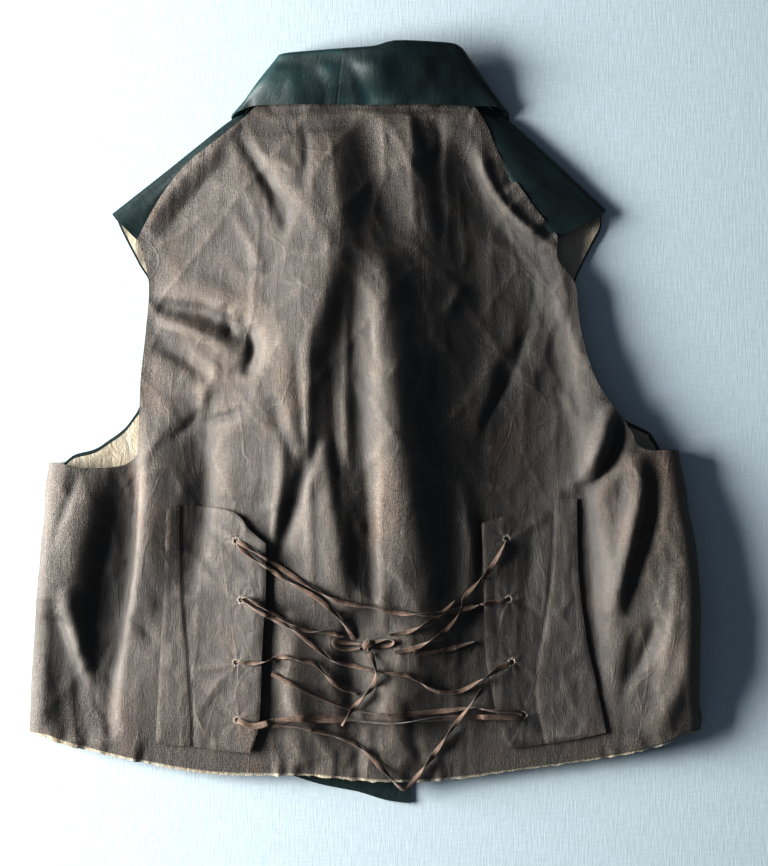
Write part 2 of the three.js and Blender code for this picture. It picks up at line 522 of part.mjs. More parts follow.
function frontPatches(front, side, heightAt) {
  const junction = (t) => [mix(front.underarm.at(-1)[0], front.edge, t),
    mix(front.underarm.at(-1)[1], JUNCTION_Y, t)];
  const closing = (t) => [front.edge, mix(front.hem.at(-1)[1], JUNCTION_Y, t)];
  const top = chain([[curve(front.underarm), SIDE_WIDTH_SHARE], [junction, 1 - SIDE_WIDTH_SHARE]]);
  const edge = (t) => [front.edge, mix(JUNCTION_Y, front.neckline[0][1], t)];
  const inner = chain([[edge, EDGE_SHARE], [curve(front.neckline), 1 - EDGE_SHARE]]);
  const foldLine = curve(front.shoulderFold);
  const roll = (s) => mix(SHOULDER_ROLL, NECK_ROLL, s);
  const foldBase = (s) => foldLine(s).map((value, k) => value - front.foldOut[k] * roll(s));
  return {
    body: patch(curve(front.hem), top, side, closing),
    chest: patch(junction, foldBase, curve(front.armhole), inner),
    foldBase,
    roll,
    heightAt,
  };
}

// The chest is folded back over the shoulder and ends at the seam on the back.
function shoulderRows(front, parts, seam, columns) {
  const fold = steps(0, Math.PI, FOLD_ROWS).slice(1);
  const ends = columns.map((s) => {
    const base = parts.foldBase(s);
    const meet = seam(s).map((value, k) => value + front.foldOut[k] * SEAM_GAP);
    return { base, meet, low: parts.heightAt(...base), high: backHeight(...seam(s)) };
  });
  const round = fold.map((turn) => ends.map(({ base, low, high }, i) => {
    const out = parts.roll(columns[i]) * Math.sin(turn);
    const z = mix(low, high, (1 - Math.cos(turn)) / 2);
    return [base[0] + front.foldOut[0] * out, base[1] + front.foldOut[1] * out, z];
  }));
  const flap = steps(0, 1, FLAP_ROWS).slice(1).map((t) => ends.map(({ base, meet, high }) => [
    mix(base[0], meet[0], t),
    mix(base[1], meet[1], t),
    high + 0.8 * Math.sin(Math.PI * t),
  ]));
  return [...round, ...flap];
}

function makeFront(front, parts, seam, columns) {
  const cloth = new Cloth();
  const lift = ([x, y]) => [x, y, parts.heightAt(x, y)];
  const sideColumns = SIDE_COLUMNS.map((s) => s * SIDE_WIDTH_SHARE);
  const chestColumns = columns.map((s) => mix(SIDE_WIDTH_SHARE, 1, s));
  const bodyColumnsHere = [...sideColumns, ...chestColumns.slice(1)];
  const body = steps(0, 1, FRONT_BODY_ROWS).map((t) => cloth.row(
    bodyColumnsHere.map((s) => lift(parts.body(s, t))),
  ));
  cloth.join(body);
  const shared = body.at(-1).slice(SIDE_COLUMNS.length - 1);
  const chest = steps(0, 1, FRONT_CHEST_ROWS).slice(1).map((t) => cloth.row(
    columns.map((s) => lift(parts.chest(s, t))),
  ));
  const shoulder = shoulderRows(front, parts, seam, columns).map((points) => cloth.row(points));
  cloth.join([shared, ...chest, ...shoulder]);
  return cloth.solid(CLOTH);
}

// Lining of a front, from the side fold to the facing and up to the shoulder fold.
const LINING_BODY = { across: [0.07, 0.68], up: [0.03, 1] };
const LINING_CHEST = { across: [0.02, 0.58], up: [0, 0.985] };
const LINING_COLUMNS = 6;
const LINING_ROWS = 6;

function makeFrontLining(parts) {
  const cloth = new Cloth();
  const lift = ([x, y]) => [x, y, parts.heightAt(x, y) + LINING_RISE];
  const side = steps(LINING_BODY.across[0], SIDE_WIDTH_SHARE + 0.015, 2);
  const chestFrom = mix(SIDE_WIDTH_SHARE, 1, LINING_CHEST.across[0]);
  const chestTo = mix(SIDE_WIDTH_SHARE, 1, LINING_CHEST.across[1]);
  const middle = steps(chestFrom, chestTo, LINING_COLUMNS);
  const body = steps(...LINING_BODY.up, LINING_ROWS).map((t) => {
    const inset = t === 1 ? 0.99 : t;
    return cloth.row([...side.slice(0, 2), ...middle].map((s) => lift(parts.body(s, inset))));
  });
  cloth.join(body);
  const chest = steps(...LINING_CHEST.up, LINING_ROWS).slice(1).map((t) => cloth.row(
    steps(...LINING_CHEST.across, LINING_COLUMNS).map((s) => lift(parts.chest(s, t))),
  ));
  cloth.join([body.at(-1).slice(2), ...chest]);
  return cloth.solid(LINING);
}

// Facing inside the left front's closing edge; its lower end shows below the back's hem.
function makeFacing(parts) {
  const cloth = new Cloth();
  const rows = steps(0, 1, FRONT_BODY_ROWS).map((t) => cloth.row(FACING_COLUMNS.map((column) => {
    const [x, y] = parts.body(mix(SIDE_WIDTH_SHARE, 1, column), t);
    return [x, y, leftFrontHeight(x, y) + LINING_RISE];
  })));
  cloth.join(rows);
  return cloth.solid(LINING);
}

// ---------- the collar: stand and fall in one folded section ----------
const STAND_POINTS = [0, 0.5, 0.93];
const FALL_POINTS = [0.07, 0.35, 0.7, 1];
const ROLL_TURNS = [0.25, 0.5, 0.75];

function collarSection(station, hand) {
  const [ex, ey] = station.edge;
  const [fx, fy] = station.fold;
  const fall = Math.hypot(fx - ex, fy - ey);
  const up = [(fx - ex) / fall, (fy - ey) / fall];
  const facing = THREE.MathUtils.degToRad(station.faces);
  const out = [
    -hand * up[1] * Math.cos(facing),
    hand * up[0] * Math.cos(facing),
    Math.sin(facing),
  ];
  const place = (x, y, away) => [x + out[0] * away, y + out[1] * away, station.z + out[2] * away];
  const stand = STAND_POINTS.map((k) => place(
    mix(station.seam[0], fx - up[0] * 2, k),
    mix(station.seam[1], fy - up[1] * 2, k),
    0,
  ));
  const roll = ROLL_TURNS.map((k) => {
    const turn = Math.PI * k;
    const reach = -2 + (station.open / 2 + 0.6) * Math.sin(turn);
    const away = (station.open / 2) * (1 - Math.cos(turn));
    return place(fx + up[0] * reach, fy + up[1] * reach, away);
  });
  const hang = FALL_POINTS.map((k) => place(
    mix(fx - up[0] * 2, ex, k),
    mix(fy - up[1] * 2, ey, k),
    station.open,
  ));
  return [...stand, ...roll, ...hang];
}

function makeCollar(stations, hand) {
  const cloth = new Cloth();
  cloth.join(stations.map((station) => cloth.row(collarSection(station, hand))));
  return cloth.solid(COLLAR_CLOTH);
}

// ---------- lacing tabs ----------
const TAB_COLUMNS = 7;
const TAB_ROWS = 14;
const TAB_RISE = CLOTH + TAB_REST;

function tabHeight(tab, x, y) {
  return backHeight(x, y) + TAB_RISE + TAB_LIFT * smooth(tab.liftFrom, tab.liftTo, x);
}

function tabPatch(tab) {
  return patch(curve(tab.bottom), curve(tab.top), curve(tab.outer), curve(tab.inner));
}

// ---------- solids by booleans ----------
const wasm = await Module();
wasm.setup();

function toSolid(geometry) {
  const bare = geometry.clone();
  bare.deleteAttribute('normal');
  bare.deleteAttribute('uv');
  const merged = mergeVertices(bare, 1e-4);
  return new wasm.Manifold(new wasm.Mesh({
    numProp: 3,
    vertProperties: new Float32Array(merged.attributes.position.array),
    triVerts: new Uint32Array(merged.index.array),
  }));
}

function toGeometry(solid) {
  const mesh = solid.getMesh();
  const geometry = new THREE.BufferGeometry();
  geometry.setAttribute('position', new THREE.Float32BufferAttribute(mesh.vertProperties, 3));
  geometry.setIndex(Array.from(mesh.triVerts));
  return geometry;
}

function makeTab(tab) {
  const cloth = new Cloth();
  const at = tabPatch(tab);
  cloth.join(steps(0, 1, TAB_ROWS).map((t) => cloth.row(steps(0, 1, TAB_COLUMNS).map((s) => {
    const [x, y] = at(s, t);
    return [x, y, tabHeight(tab, x, y)];
  }))));
  let solid = toSolid(cloth.solid(CLOTH));
  for (const [x, y] of tab.eyelets) {
    const hole = new THREE.CylinderGeometry(EYELET_HOLE, EYELET_HOLE, 4 * CLOTH, 8);
    hole.rotateX(Math.PI / 2);
    hole.translate(x, y, tabHeight(tab, x, y));
    solid = solid.subtract(toSolid(hole));
  }
  return toGeometry(solid);
}

// ---------- lace ----------
const LACE_REST = 0.9; // clearance of the lace over the cloth

function onTab(tab, x, y) {
  const inward = Math.sign(tab.liftTo - tab.liftFrom);
  return (tab.liftTo - x) * inward > -2 && y > tab.bottom.at(-1)[1] && y < tab.top[0][1];
}

function clothTop(x, y) {
  const tab = [TAB_LEFT, TAB_RIGHT].find((each) => onTab(each, x, y));
  const middle = tab ? tabHeight(tab, x, y) : backHeight(x, y);
  return middle + CLOTH / 2;
}

function makeLace(route, count) {
  const points = route.map(([x, y, over]) => new THREE.Vector3(
    x,
    y,
    clothTop(x, y) + LACE_REST + LACE / 2 + over,
  ));
  const section = new THREE.Shape(steps(0, 2 * Math.PI, 8).slice(1).map((turn) => new THREE.Vector2(
    (LACE / 2) * Math.cos(turn),
    (LACE / 2) * Math.sin(turn),
  )));
  return new THREE.ExtrudeGeometry(section, {
    steps: count,
    extrudePath: new THREE.CatmullRomCurve3(points),
  });
}

function makeKnot() {
  const profile = steps(-Math.PI / 2, Math.PI / 2, 6).map((turn) => new THREE.Vector2(
    KNOT.radius * Math.cos(turn),
    (KNOT.thickness / 2) * Math.sin(turn),
  ));
  profile[0].x = 0;
  profile.at(-1).x = 0;
  const knot = new THREE.LatheGeometry(profile, 12);
  knot.rotateX(Math.PI / 2);
  return knot;
}

// ---------- assembly ----------
const waistcoat = new THREE.Group();

function add(name, geometry, look) {
  const mesh = new THREE.Mesh(geometry, new THREE.MeshStandardMaterial(look));
  mesh.name = name;
  waistcoat.add(mesh);
  return mesh;
}

const leftFront = frontPatches(
  LEFT_FRONT,
  (t) => shifted(leftSide, ROLL_LEFT + SIDE_GAP)(mix(0.02, 1, t)),
  leftFrontHeight,
);
const rightFront = frontPatches(
  RIGHT_FRONT,
  (t) => shifted(rightSide, -ROLL_RIGHT - SIDE_GAP)(mix(0.02, 1, t)),
  rightFrontHeight,
);
const rightSeam = curve([...BACK.rightShoulder].reverse());
add('back', makeBack(), BROWN);
add('hem_lining', makeHemLining(), CREAM);
add('front_left', makeFront(LEFT_FRONT, leftFront, curve(BACK.leftShoulder), LEFT_FRONT_COLUMNS), GREEN);
add('front_right', makeFront(RIGHT_FRONT, rightFront, rightSeam, RIGHT_FRONT_COLUMNS), GREEN);
add('front_lining_left', makeFrontLining(leftFront), CREAM);
add('front_lining_right', makeFrontLining(rightFront), CREAM);
add('front_facing', makeFacing(leftFront), GREEN);
add('collar_left', makeCollar(COLLAR_LEFT, 1), GREEN);
add('collar_right', makeCollar(COLLAR_RIGHT, -1), GREEN);
add('tab_left', makeTab(TAB_LEFT), BROWN);
add('tab_right', makeTab(TAB_RIGHT), BROWN);
for (const { name, route, steps: count } of [...LACES, ...BOW_LOOPS]) {
  add(name, makeLace(route, count), TAPE);
}
const knot = add('lace_knot', makeKnot(), TAPE);
knot.position.set(KNOT.x, KNOT.y, clothTop(KNOT.x, KNOT.y) + LACE_REST + KNOT.thickness / 2);
for (let i = 0; i < BUTTON_COUNT; i += 1) {
  const disc = new THREE.CylinderGeometry(BUTTON_RADIUS, BUTTON_RADIUS * 0.86, BUTTON_THICKNESS, 16);
  const button = add(`button_${i + 1}`, disc, HORN);
  button.rotation.x = Math.PI / 2;
  button.position.set(BUTTON_X, BUTTON_LOW + BUTTON_PITCH * i, BUTTON_THICKNESS / 2);
}

export default waistcoat;
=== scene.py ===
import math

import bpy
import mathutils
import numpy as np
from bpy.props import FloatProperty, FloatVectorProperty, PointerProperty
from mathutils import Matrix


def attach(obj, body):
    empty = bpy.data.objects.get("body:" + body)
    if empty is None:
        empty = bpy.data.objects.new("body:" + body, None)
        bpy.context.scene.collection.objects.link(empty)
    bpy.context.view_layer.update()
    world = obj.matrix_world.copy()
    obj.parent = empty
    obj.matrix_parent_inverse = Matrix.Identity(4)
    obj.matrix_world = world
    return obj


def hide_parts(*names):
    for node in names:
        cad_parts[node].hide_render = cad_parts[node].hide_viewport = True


bl_info = {
    "name": "Laid waistcoat",
    "version": (1, 0, 0),
    "blender": (4, 5, 0),
    "location": "View3D > Sidebar > Waistcoat",
    "description": "Cloth, collar, lacing and buttons of a waistcoat laid face down",
    "category": "Object",
}

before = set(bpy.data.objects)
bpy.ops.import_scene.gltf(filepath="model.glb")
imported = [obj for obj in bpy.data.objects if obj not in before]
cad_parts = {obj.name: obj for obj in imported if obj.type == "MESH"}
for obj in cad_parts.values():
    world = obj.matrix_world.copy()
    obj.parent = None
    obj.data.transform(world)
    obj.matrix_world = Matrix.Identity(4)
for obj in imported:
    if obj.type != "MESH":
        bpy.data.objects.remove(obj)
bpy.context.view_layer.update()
MM = 0.001

# ---------- sizes in millimetres ----------
CLOTH = 1.5  # wall of a panel, as the hidden solids have it
LINING = 1.0
GAP = 0.3
ROLL_LEFT = 10
ROLL_RIGHT = 12
SHOULDER_ROLL = 5
NECK_ROLL = 3
HEM_PEEP = 2.6
HEM_DEPTH = 11
SIDE_GAP = 0.5
COLLAR_LIFT = 1.6
EYELET_HOLE = 1.9
EYELET_RING = 3.3  # radius of the worked thread round it
BUTTON_RADIUS = 7.5
BUTTON_THICKNESS = 2.4
BUTTON_X = 14
BUTTON_LOW = -222
BUTTON_PITCH = 48
BUTTON_COUNT = 6
FRONT_EDGE_LEFT = 33
FRONT_EDGE_RIGHT = -10
TAB_REST = 0.6
TAB_LIFT = 3.0
LINING_RISE = CLOTH / 2 + GAP + LINING / 2
LAP_RISE = CLOTH + LINING + 3 * GAP
BUTTON_RISE = BUTTON_THICKNESS + GAP
JUNCTION_Y = 10
SIDE_WIDTH_SHARE = 0.2
EDGE_SHARE = 0.06
LEFT_SHARE = 0.125
RIGHT_SHARE = 0.07
SHOULDER_SHARE = 7 / 32
LOW_CLOTH = 9  # the back rests on the layers under it rather than sinking lower
FOLD_GAIN = 1.25  # the cloth's folds over those of the plain solids
CREASE_GAIN = 1.5

BACK = {
    "hem": [[-243.8, -234], [-221, -242], [-172, -254], [-115, -263], [-50, -264.5], [14, -269],
            [56, -268], [102, -262], [147, -256], [193, -248.5], [223, -241], [240, -232]],
    "left_side": [[-253.8, -234], [-251, -165], [-246, -104], [-242, -58.5], [-239, -30]],
    "right_side": [[252, -232], [253, -222], [251, -203], [252, -134.5], [248, -89], [242, -58.5],
                   [236, -20.5]],
    "left_underarm": [[-229, -30], [-221, -33.5], [-202, -34], [-183, -32], [-172, -24]],
    "right_underarm": [[195, 2], [201, -8], [205, -17], [214, -20.5], [224, -20.5]],
    "left_armhole": [[-172, -24], [-171, -5], [-170, 33], [-166, 71], [-164, 105], [-170, 131.5],
                     [-173, 139]],
    "right_armhole": [[195, 2], [191, 6], [178, 25], [169, 44], [163, 67], [160, 86], [158, 105],
                      [145, 124], [145, 141]],
    "left_shoulder": [[-173, 139], [-155, 171], [-135, 196], [-111, 215], [-91, 231.5]],
    "right_shoulder": [[83, 238], [92, 223], [102, 200], [125, 166], [145, 141]],
    "neck": [[-91, 231.5], [-77, 243], [-50, 250], [0, 251], [45, 250], [66, 246], [83, 238]],
}
LEFT_FRONT = {
    "hem": [[-243.2, -229.4], [-172, -250], [-115, -259], [-75, -261.5], [-61.6, -265.5],
            [-35, -274], [-5, -280], [15, -286], [FRONT_EDGE_LEFT, -288.5]],
    "underarm": [[-228.5, -30], [-221, -24], [-206, -20], [-195, -13], [-183, -4], [-174, 8]],
    "armhole": [[-174, 8], [-165, 30], [-159, 71], [-164, 105], [-172, 120], [-183, 141],
                [-189, 154]],
    "neckline": [[FRONT_EDGE_LEFT, 25], [2, 43], [-8.5, 60.4], [-30.4, 94.6], [-52.6, 137.9],
                 [-72.8, 181.2], [-88.2, 219], [-91.2, 230.1]],
    "shoulder_fold": [[-192, 158], [-150, 191], [-105, 226.5], [-93, 232.5]],
    "fold_out": [-0.596, 0.803],
    "edge": FRONT_EDGE_LEFT,
}
RIGHT_FRONT = {
    "hem": [[238.9, -228], [193, -243], [147, -250.5], [102, -256.5], [56, -262], [14, -263],
            [FRONT_EDGE_RIGHT, -262]],
    "underarm": [[223.5, -20.5], [216, -8], [205, -2], [195, 3], [185, 11], [178, 17.5]],
    "armhole": [[178, 17.5], [161, 48], [155, 78], [158, 105], [170, 131.5], [178, 147],
                [178.6, 157.3]],
    "neckline": [[FRONT_EDGE_RIGHT, 25], [3, 42], [21, 64], [42.5, 97.5], [64, 137.7],
                 [83, 181.6], [96, 218.4], [98.5, 230.3]],
    "shoulder_fold": [[182, 161], [140, 200], [110, 227], [100.5, 232.5]],
    "fold_out": [0.678, 0.735],
    "edge": FRONT_EDGE_RIGHT,
}

# ---------- height of the back's middle over the table, a row for each section ----------
HEIGHT_STATIONS = [-240, -160, -80, 0, 80, 160, 240]
HEIGHTS = [
    {"y": -265, "at": [11, 10, 11, 12, 11, 11, 14]},
    {"y": -200, "at": [14, 13, 17, 18, 13, 16, 18]},
    {"y": -100, "at": [15, 14, 19, 26, 16, 18, 20]},
    {"y": -25, "at": [14, 14, 19, 29, 19, 17, 18]},
    {"y": 60, "at": [12, 12, 20, 30, 20, 15, 17]},
    {"y": 140, "at": [10, 10, 19, 27, 18, 13, 14]},
    {"y": 200, "at": [9, 9, 16, 21, 14, 12, 13]},
    {"y": 255, "at": [9, 9, 11, 12, 12, 12, 12]},
]

# ---------- folds of the back: a path, the width of the flank on each side of the way along
# it, the height, and how sharp the crest is (2 is round, 1 is a crease) ----------
FOLDS = [
    {"name": "left crest", "path": [[-27, 222], [-25, 125], [-49, 50], [-58, -60]], "widths": [17, 58], "height": 9},
    {"name": "middle ridge", "path": [[-2, 150], [14, 101], [26, -20], [53, -190]], "widths": [16, 24], "height": 7},
    {"name": "valley inside it", "path": [[-12, 131], [-8, 71], [-2, -5], [2, -134]], "widths": [11, 14], "height": -4.5},
    {"name": "valley beyond it", "path": [[100, 170], [132, 60], [122, -60], [100, -160]], "widths": [34, 58], "height": -4.5},
    {"name": "waist ridge", "path": [[-33, -13], [-24, -74], [-16, -142]], "widths": [8, 22], "height": 4.5},
    {"name": "waist crease", "path": [[-36, -8], [-50, -51], [-67, -104]], "widths": [5, 7], "height": -4},
    {"name": "neck valley", "path": [[-5, 234], [0, 207], [11, 162], [20, 124]], "widths": [12, 17], "height": -3},
    {"name": "neck ridge", "path": [[22, 236], [32, 207], [44, 162], [49, 128]], "widths": [9, 13], "height": 3.2},
    {"name": "right shoulder ridge", "path": [[82, 212], [93, 181], [104, 164], [121, 148], [147, 128]], "widths": [4.5, 6], "height": 3.6},
    {"name": "right shoulder hollow", "path": [[73, 212], [85, 169], [102, 143], [136, 118]], "widths": [7, 14], "height": -3.2},
    {"name": "left shoulder crease", "path": [[-99, 221], [-78, 188], [-59, 146]], "widths": [5, 5], "height": -2.5},
    {"name": "left armhole roll", "path": [[-160, 99], [-115, 93], [-86, 68]], "widths": [12, 5], "height": 2.6},
    {"name": "left armhole hollow", "path": [[-160, 88], [-115, 80], [-91, 57]], "widths": [5, 6], "height": -2.8},
    {"name": "left armhole ridge", "path": [[-158, 75], [-122, 67], [-99, 52]], "widths": [5, 5], "height": 2.6},
    {"name": "left armhole crease", "path": [[-160, 60], [-134, 48], [-113, 27]], "widths": [5, 7], "height": -3},
    {"name": "left hollow", "path": [[-98, 84], [-86, 58], [-92, 34]], "widths": [8, 8], "height": -3.5},
    {"name": "left rim", "path": [[-165, 10], [-168, -43], [-173, -104], [-182, -162]], "widths": [17, 4], "height": 2.2},
    {"name": "left chest valley", "path": [[-126, 24], [-121, -43], [-132, -130]], "widths": [10, 16], "height": -5},
    {"name": "left side valley", "path": [[-173, -30], [-175, -60], [-179, -104], [-187, -155], [-193, -195], [-194, -240]], "widths": [5, 28], "height": -9.5},
    {"name": "left side ridge", "path": [[-204, -26], [-210, -70], [-221, -118], [-228, -150]], "widths": [16, 30], "height": 6},
    {"name": "left corner valley", "path": [[-240, -132], [-229, -168], [-219, -200], [-213, -238]], "widths": [6, 19], "height": -6.5},
    {"name": "left flank ridge", "path": [[-226, -122], [-218, -160], [-208, -192], [-198, -224]], "widths": [7, 7], "height": 4.5},
    {"name": "right chest ridge", "path": [[116, 88], [98, 40], [79, -13]], "widths": [6, 12], "height": 3},
    {"name": "right chest ridge beyond", "path": [[146, 93], [132, 48], [113, 2]], "widths": [6, 12], "height": 2.5},
    {"name": "right rim", "path": [[157, 112], [163, 67], [183, 20]], "widths": [8, 14], "height": 1.8},
    {"name": "right armhole ridge", "path": [[186, 17], [174, -21], [152, -54]], "widths": [7, 9], "height": 6},
    {"name": "right tuck", "path": [[193, 0], [188, -24], [170, -50]], "widths": [4.5, 4], "height": -4},
    {"name": "right side ridge", "path": [[206, -22], [205, -59], [198, -89], [187, -145]], "widths": [6, 9], "height": 6},
    {"name": "right side hollow", "path": [[217, -26], [216, -59], [208, -93], [190, -157]], "widths": [7, 6], "height": -2},
    {"name": "right corner ridge", "path": [[248, -120], [244, -173], [229, -211], [216, -240]], "widths": [9, 13], "height": 4.5},
]
SLOPES = [
    {"name": "right half falling away", "path": [[60, 215], [128, 100], [150, 10], [164, -70], [172, -150], [176, -235]], "widths": [10, 84], "height": -9},
    {"name": "left rim's far side", "path": [[-162, 20], [-165, -43], [-170, -104], [-180, -165]], "widths": [26, 8], "height": 2},
    {"name": "lower left ridge", "path": [[-60, -140], [-56, -200], [-50, -262]], "widths": [14, 10], "height": 3.4},
    {"name": "lower middle valley", "path": [[-14, -140], [-10, -200], [-6, -262]], "widths": [11, 9], "height": -3.6},
    {"name": "lower middle ridge", "path": [[28, -150], [24, -205], [22, -264]], "widths": [22, 12], "height": 4.2},
    {"name": "right side plane", "path": [[240, -40], [246, -120], [243, -190]], "widths": [9, 34], "height": 3},
]
CREASES = [
    {"name": "shoulder crease end", "path": [[-79, 188], [-60, 163], [-62, 141]], "widths": [5, 3.5], "height": -1.6},
    {"name": "shoulder wrinkle", "path": [[-72, 200], [-62, 195], [-52, 188]], "widths": [4, 3.5], "height": 1.0},
    {"name": "shoulder band", "path": [[-168, 142], [-141, 183], [-100, 218]], "widths": [5, 11], "height": 1.5},
    {"name": "shoulder band shade", "path": [[-155, 140], [-130, 172], [-98, 205]], "widths": [9, 9], "height": -2.2},
    {"name": "upper left wrinkle", "path": [[-96, 122], [-79, 116], [-59, 122]], "widths": [4, 4], "height": -1.0},
    {"name": "upper left line", "path": [[-100, 160], [-88, 138], [-76, 112]], "widths": [4, 5], "height": 1.1},
    {"name": "left hollow spot", "path": [[-96, 80], [-84, 59], [-90, 36]], "widths": [6, 5], "height": -2.6},
    {"name": "left hollow nick", "path": [[-106, 89], [-103, 77], [-102, 62]], "widths": [5, 4], "height": -2.4},
    {"name": "shade line", "path": [[-109, 44], [-121, 23], [-126, 1]], "widths": [5, 9], "height": 2.2},
    {"name": "thin ridge", "path": [[-124, 11], [-134, -2], [-147, -12]], "widths": [4, 4], "height": -1.3},
    {"name": "thin crease", "path": [[-122, 2], [-105, 5], [-88, 10]], "widths": [3.5, 3.5], "height": -1.3},
    {"name": "left band ridge", "path": [[-153, 86], [-126, 67], [-107, 51]], "widths": [4, 5], "height": 1.0},
    {"name": "waist ridge", "path": [[-62, -2], [-63, -45], [-74, -106]], "widths": [5, 7], "height": 2.6},
    {"name": "waist blot", "path": [[-70, 20], [-62, -8], [-52, -34]], "widths": [5, 6], "height": -1.8},
    {"name": "pressed line a", "path": [[-41, 74], [-43, -28], [-40, -135]], "widths": [3, 3.5], "height": 1.2},
    {"name": "pressed line b", "path": [[-13, 109], [-15, 33], [-13, -37]], "widths": [3, 3.5], "height": 1.3},
    {"name": "pressed line c", "path": [[2, 80], [4, 59], [5, 39]], "widths": [3, 3], "height": -1.3},
    {"name": "pressed line d", "path": [[13, -27], [11, -93], [14, -159]], "widths": [3.5, 3.5], "height": 1.2},
    {"name": "long dent a", "path": [[-28, 60], [-24, 0], [-20, -70]], "widths": [6, 5], "height": -1.8},
    {"name": "long dent b", "path": [[-52, 60], [-50, 20], [-47, -20]], "widths": [5, 5], "height": -1.6},
    {"name": "long dent c", "path": [[0, -20], [2, -80], [6, -150]], "widths": [5, 4], "height": -1.4},
    {"name": "chest valley right", "path": [[134, 96], [112, 40], [86, -4]], "widths": [3.2, 3.2], "height": -1.5},
    {"name": "small ridge right", "path": [[73, 106], [66, 93], [59, 81]], "widths": [5, 5], "height": 1.5},
    {"name": "armhole valley", "path": [[130, 103], [119, 65], [103, 36]], "widths": [6, 5], "height": -1.0},
    {"name": "armhole ridge", "path": [[134, 108], [125, 70], [110, 36]], "widths": [6, 4], "height": 1.2},
    {"name": "armhole small ridge", "path": [[150, 25], [157, 7], [166, -8]], "widths": [5, 4], "height": 1.6},
    {"name": "armhole rim", "path": [[150, 112], [156, 64], [184, 18]], "widths": [4, 9], "height": 0.9},
    {"name": "flank crease left", "path": [[-215, -36], [-227, -66], [-240, -100]], "widths": [3, 3.5], "height": -1.1},
    {"name": "left hem dent", "path": [[-212, -170], [-206, -205], [-190, -236]], "widths": [7, 6], "height": -2},
    {"name": "tab crease left", "path": [[-179, -146], [-166, -157], [-154, -169]], "widths": [4, 3.5], "height": -1.2},
    {"name": "neck seam", "path": [[-93, 231], [-16, 238], [99, 233]], "widths": [2.6, 2.6], "height": -0.9},
    {"name": "side dark right", "path": [[220, -146], [210, -173], [199, -197]], "widths": [7, 6], "height": -2.4},
    {"name": "flank ridge right", "path": [[233, -104], [230, -150], [220, -203]], "widths": [7, 7], "height": 2},
    {"name": "lower right dent", "path": [[205, -150], [196, -190], [192, -235]], "widths": [6, 6], "height": -1.6},
    {"name": "right of the lacing", "path": [[72, -40], [78, -95], [74, -150]], "widths": [7, 7], "height": 2},
    {"name": "below the lacing", "path": [[-60, -205], [-40, -232], [-20, -262]], "widths": [6, 5], "height": 1.4},
    {"name": "below the knot", "path": [[30, -205], [36, -235], [44, -264]], "widths": [5, 5], "height": -1.4},
    {"name": "hem pull", "path": [[-8, -205], [2, -238], [0, -266]], "widths": [4, 5], "height": 1.2},
    {"name": "collar pull a", "path": [[-48, 228], [-44, 205], [-48, 176]], "widths": [4, 4], "height": -1.2},
    {"name": "collar pull b", "path": [[52, 230], [56, 212], [50, 190]], "widths": [4, 4], "height": -1.4},
    {"name": "collar pull c", "path": [[33, 232], [36, 216], [40, 196]], "widths": [3.5, 4], "height": 1.2},
]

# ---------- collar: edge of the fall, roll line and neck seam at each station, the height of
# the neck seam, the opening between the layers, and which way the fall faces in degrees ----------
COLLAR_LEFT = [
    {"edge": [-22.3, 240.0], "fold": [-16.8, 280.7], "seam": [-21, 251.8], "z": 12, "open": 3.4, "faces": 90},
    {"edge": [-44, 240.0], "fold": [-40, 279.5], "seam": [-43, 251], "z": 12, "open": 3.4, "faces": 90},
    {"edge": [-66, 240.0], "fold": [-56, 278.5], "seam": [-62, 249], "z": 11.5, "open": 3.4, "faces": 88},
    {"edge": [-86, 238.6], "fold": [-62, 277.5], "seam": [-77, 245], "z": 10, "open": 3.2, "faces": 62},
    {"edge": [-97, 233], "fold": [-63, 276.5], "seam": [-89.5, 237], "z": 7, "open": 2.4, "faces": 0},
    {"edge": [-101.5, 230.5], "fold": [-61, 271], "seam": [-91, 235], "z": 3.1, "open": 2, "faces": -64},
    {"edge": [-98, 222.5], "fold": [-57, 262], "seam": [-88.8, 228.5], "z": 2.2, "open": 1.55, "faces": -88},
    {"edge": [-92, 215], "fold": [-52, 252], "seam": [-86, 220.5], "z": 2.2, "open": 1.55, "faces": -90},
    {"edge": [-78, 178], "fold": [-35, 205], "seam": [-71.2, 182.2], "z": 2.2, "open": 1.55, "faces": -90},
    {"edge": [-58, 135], "fold": [-16, 158], "seam": [-51, 138.8], "z": 2.2, "open": 1.55, "faces": -90},
    {"edge": [-36, 92], "fold": [0, 110], "seam": [-28.8, 95.6], "z": 2.2, "open": 1.55, "faces": -90},
    {"edge": [-14, 58], "fold": [10, 72], "seam": [-6.8, 62], "z": 2.2, "open": 1.55, "faces": -90},
    {"edge": [-4, 42], "fold": [8, 52], "seam": [2.5, 45.4], "z": 2.2, "open": 1.55, "faces": -90},
]
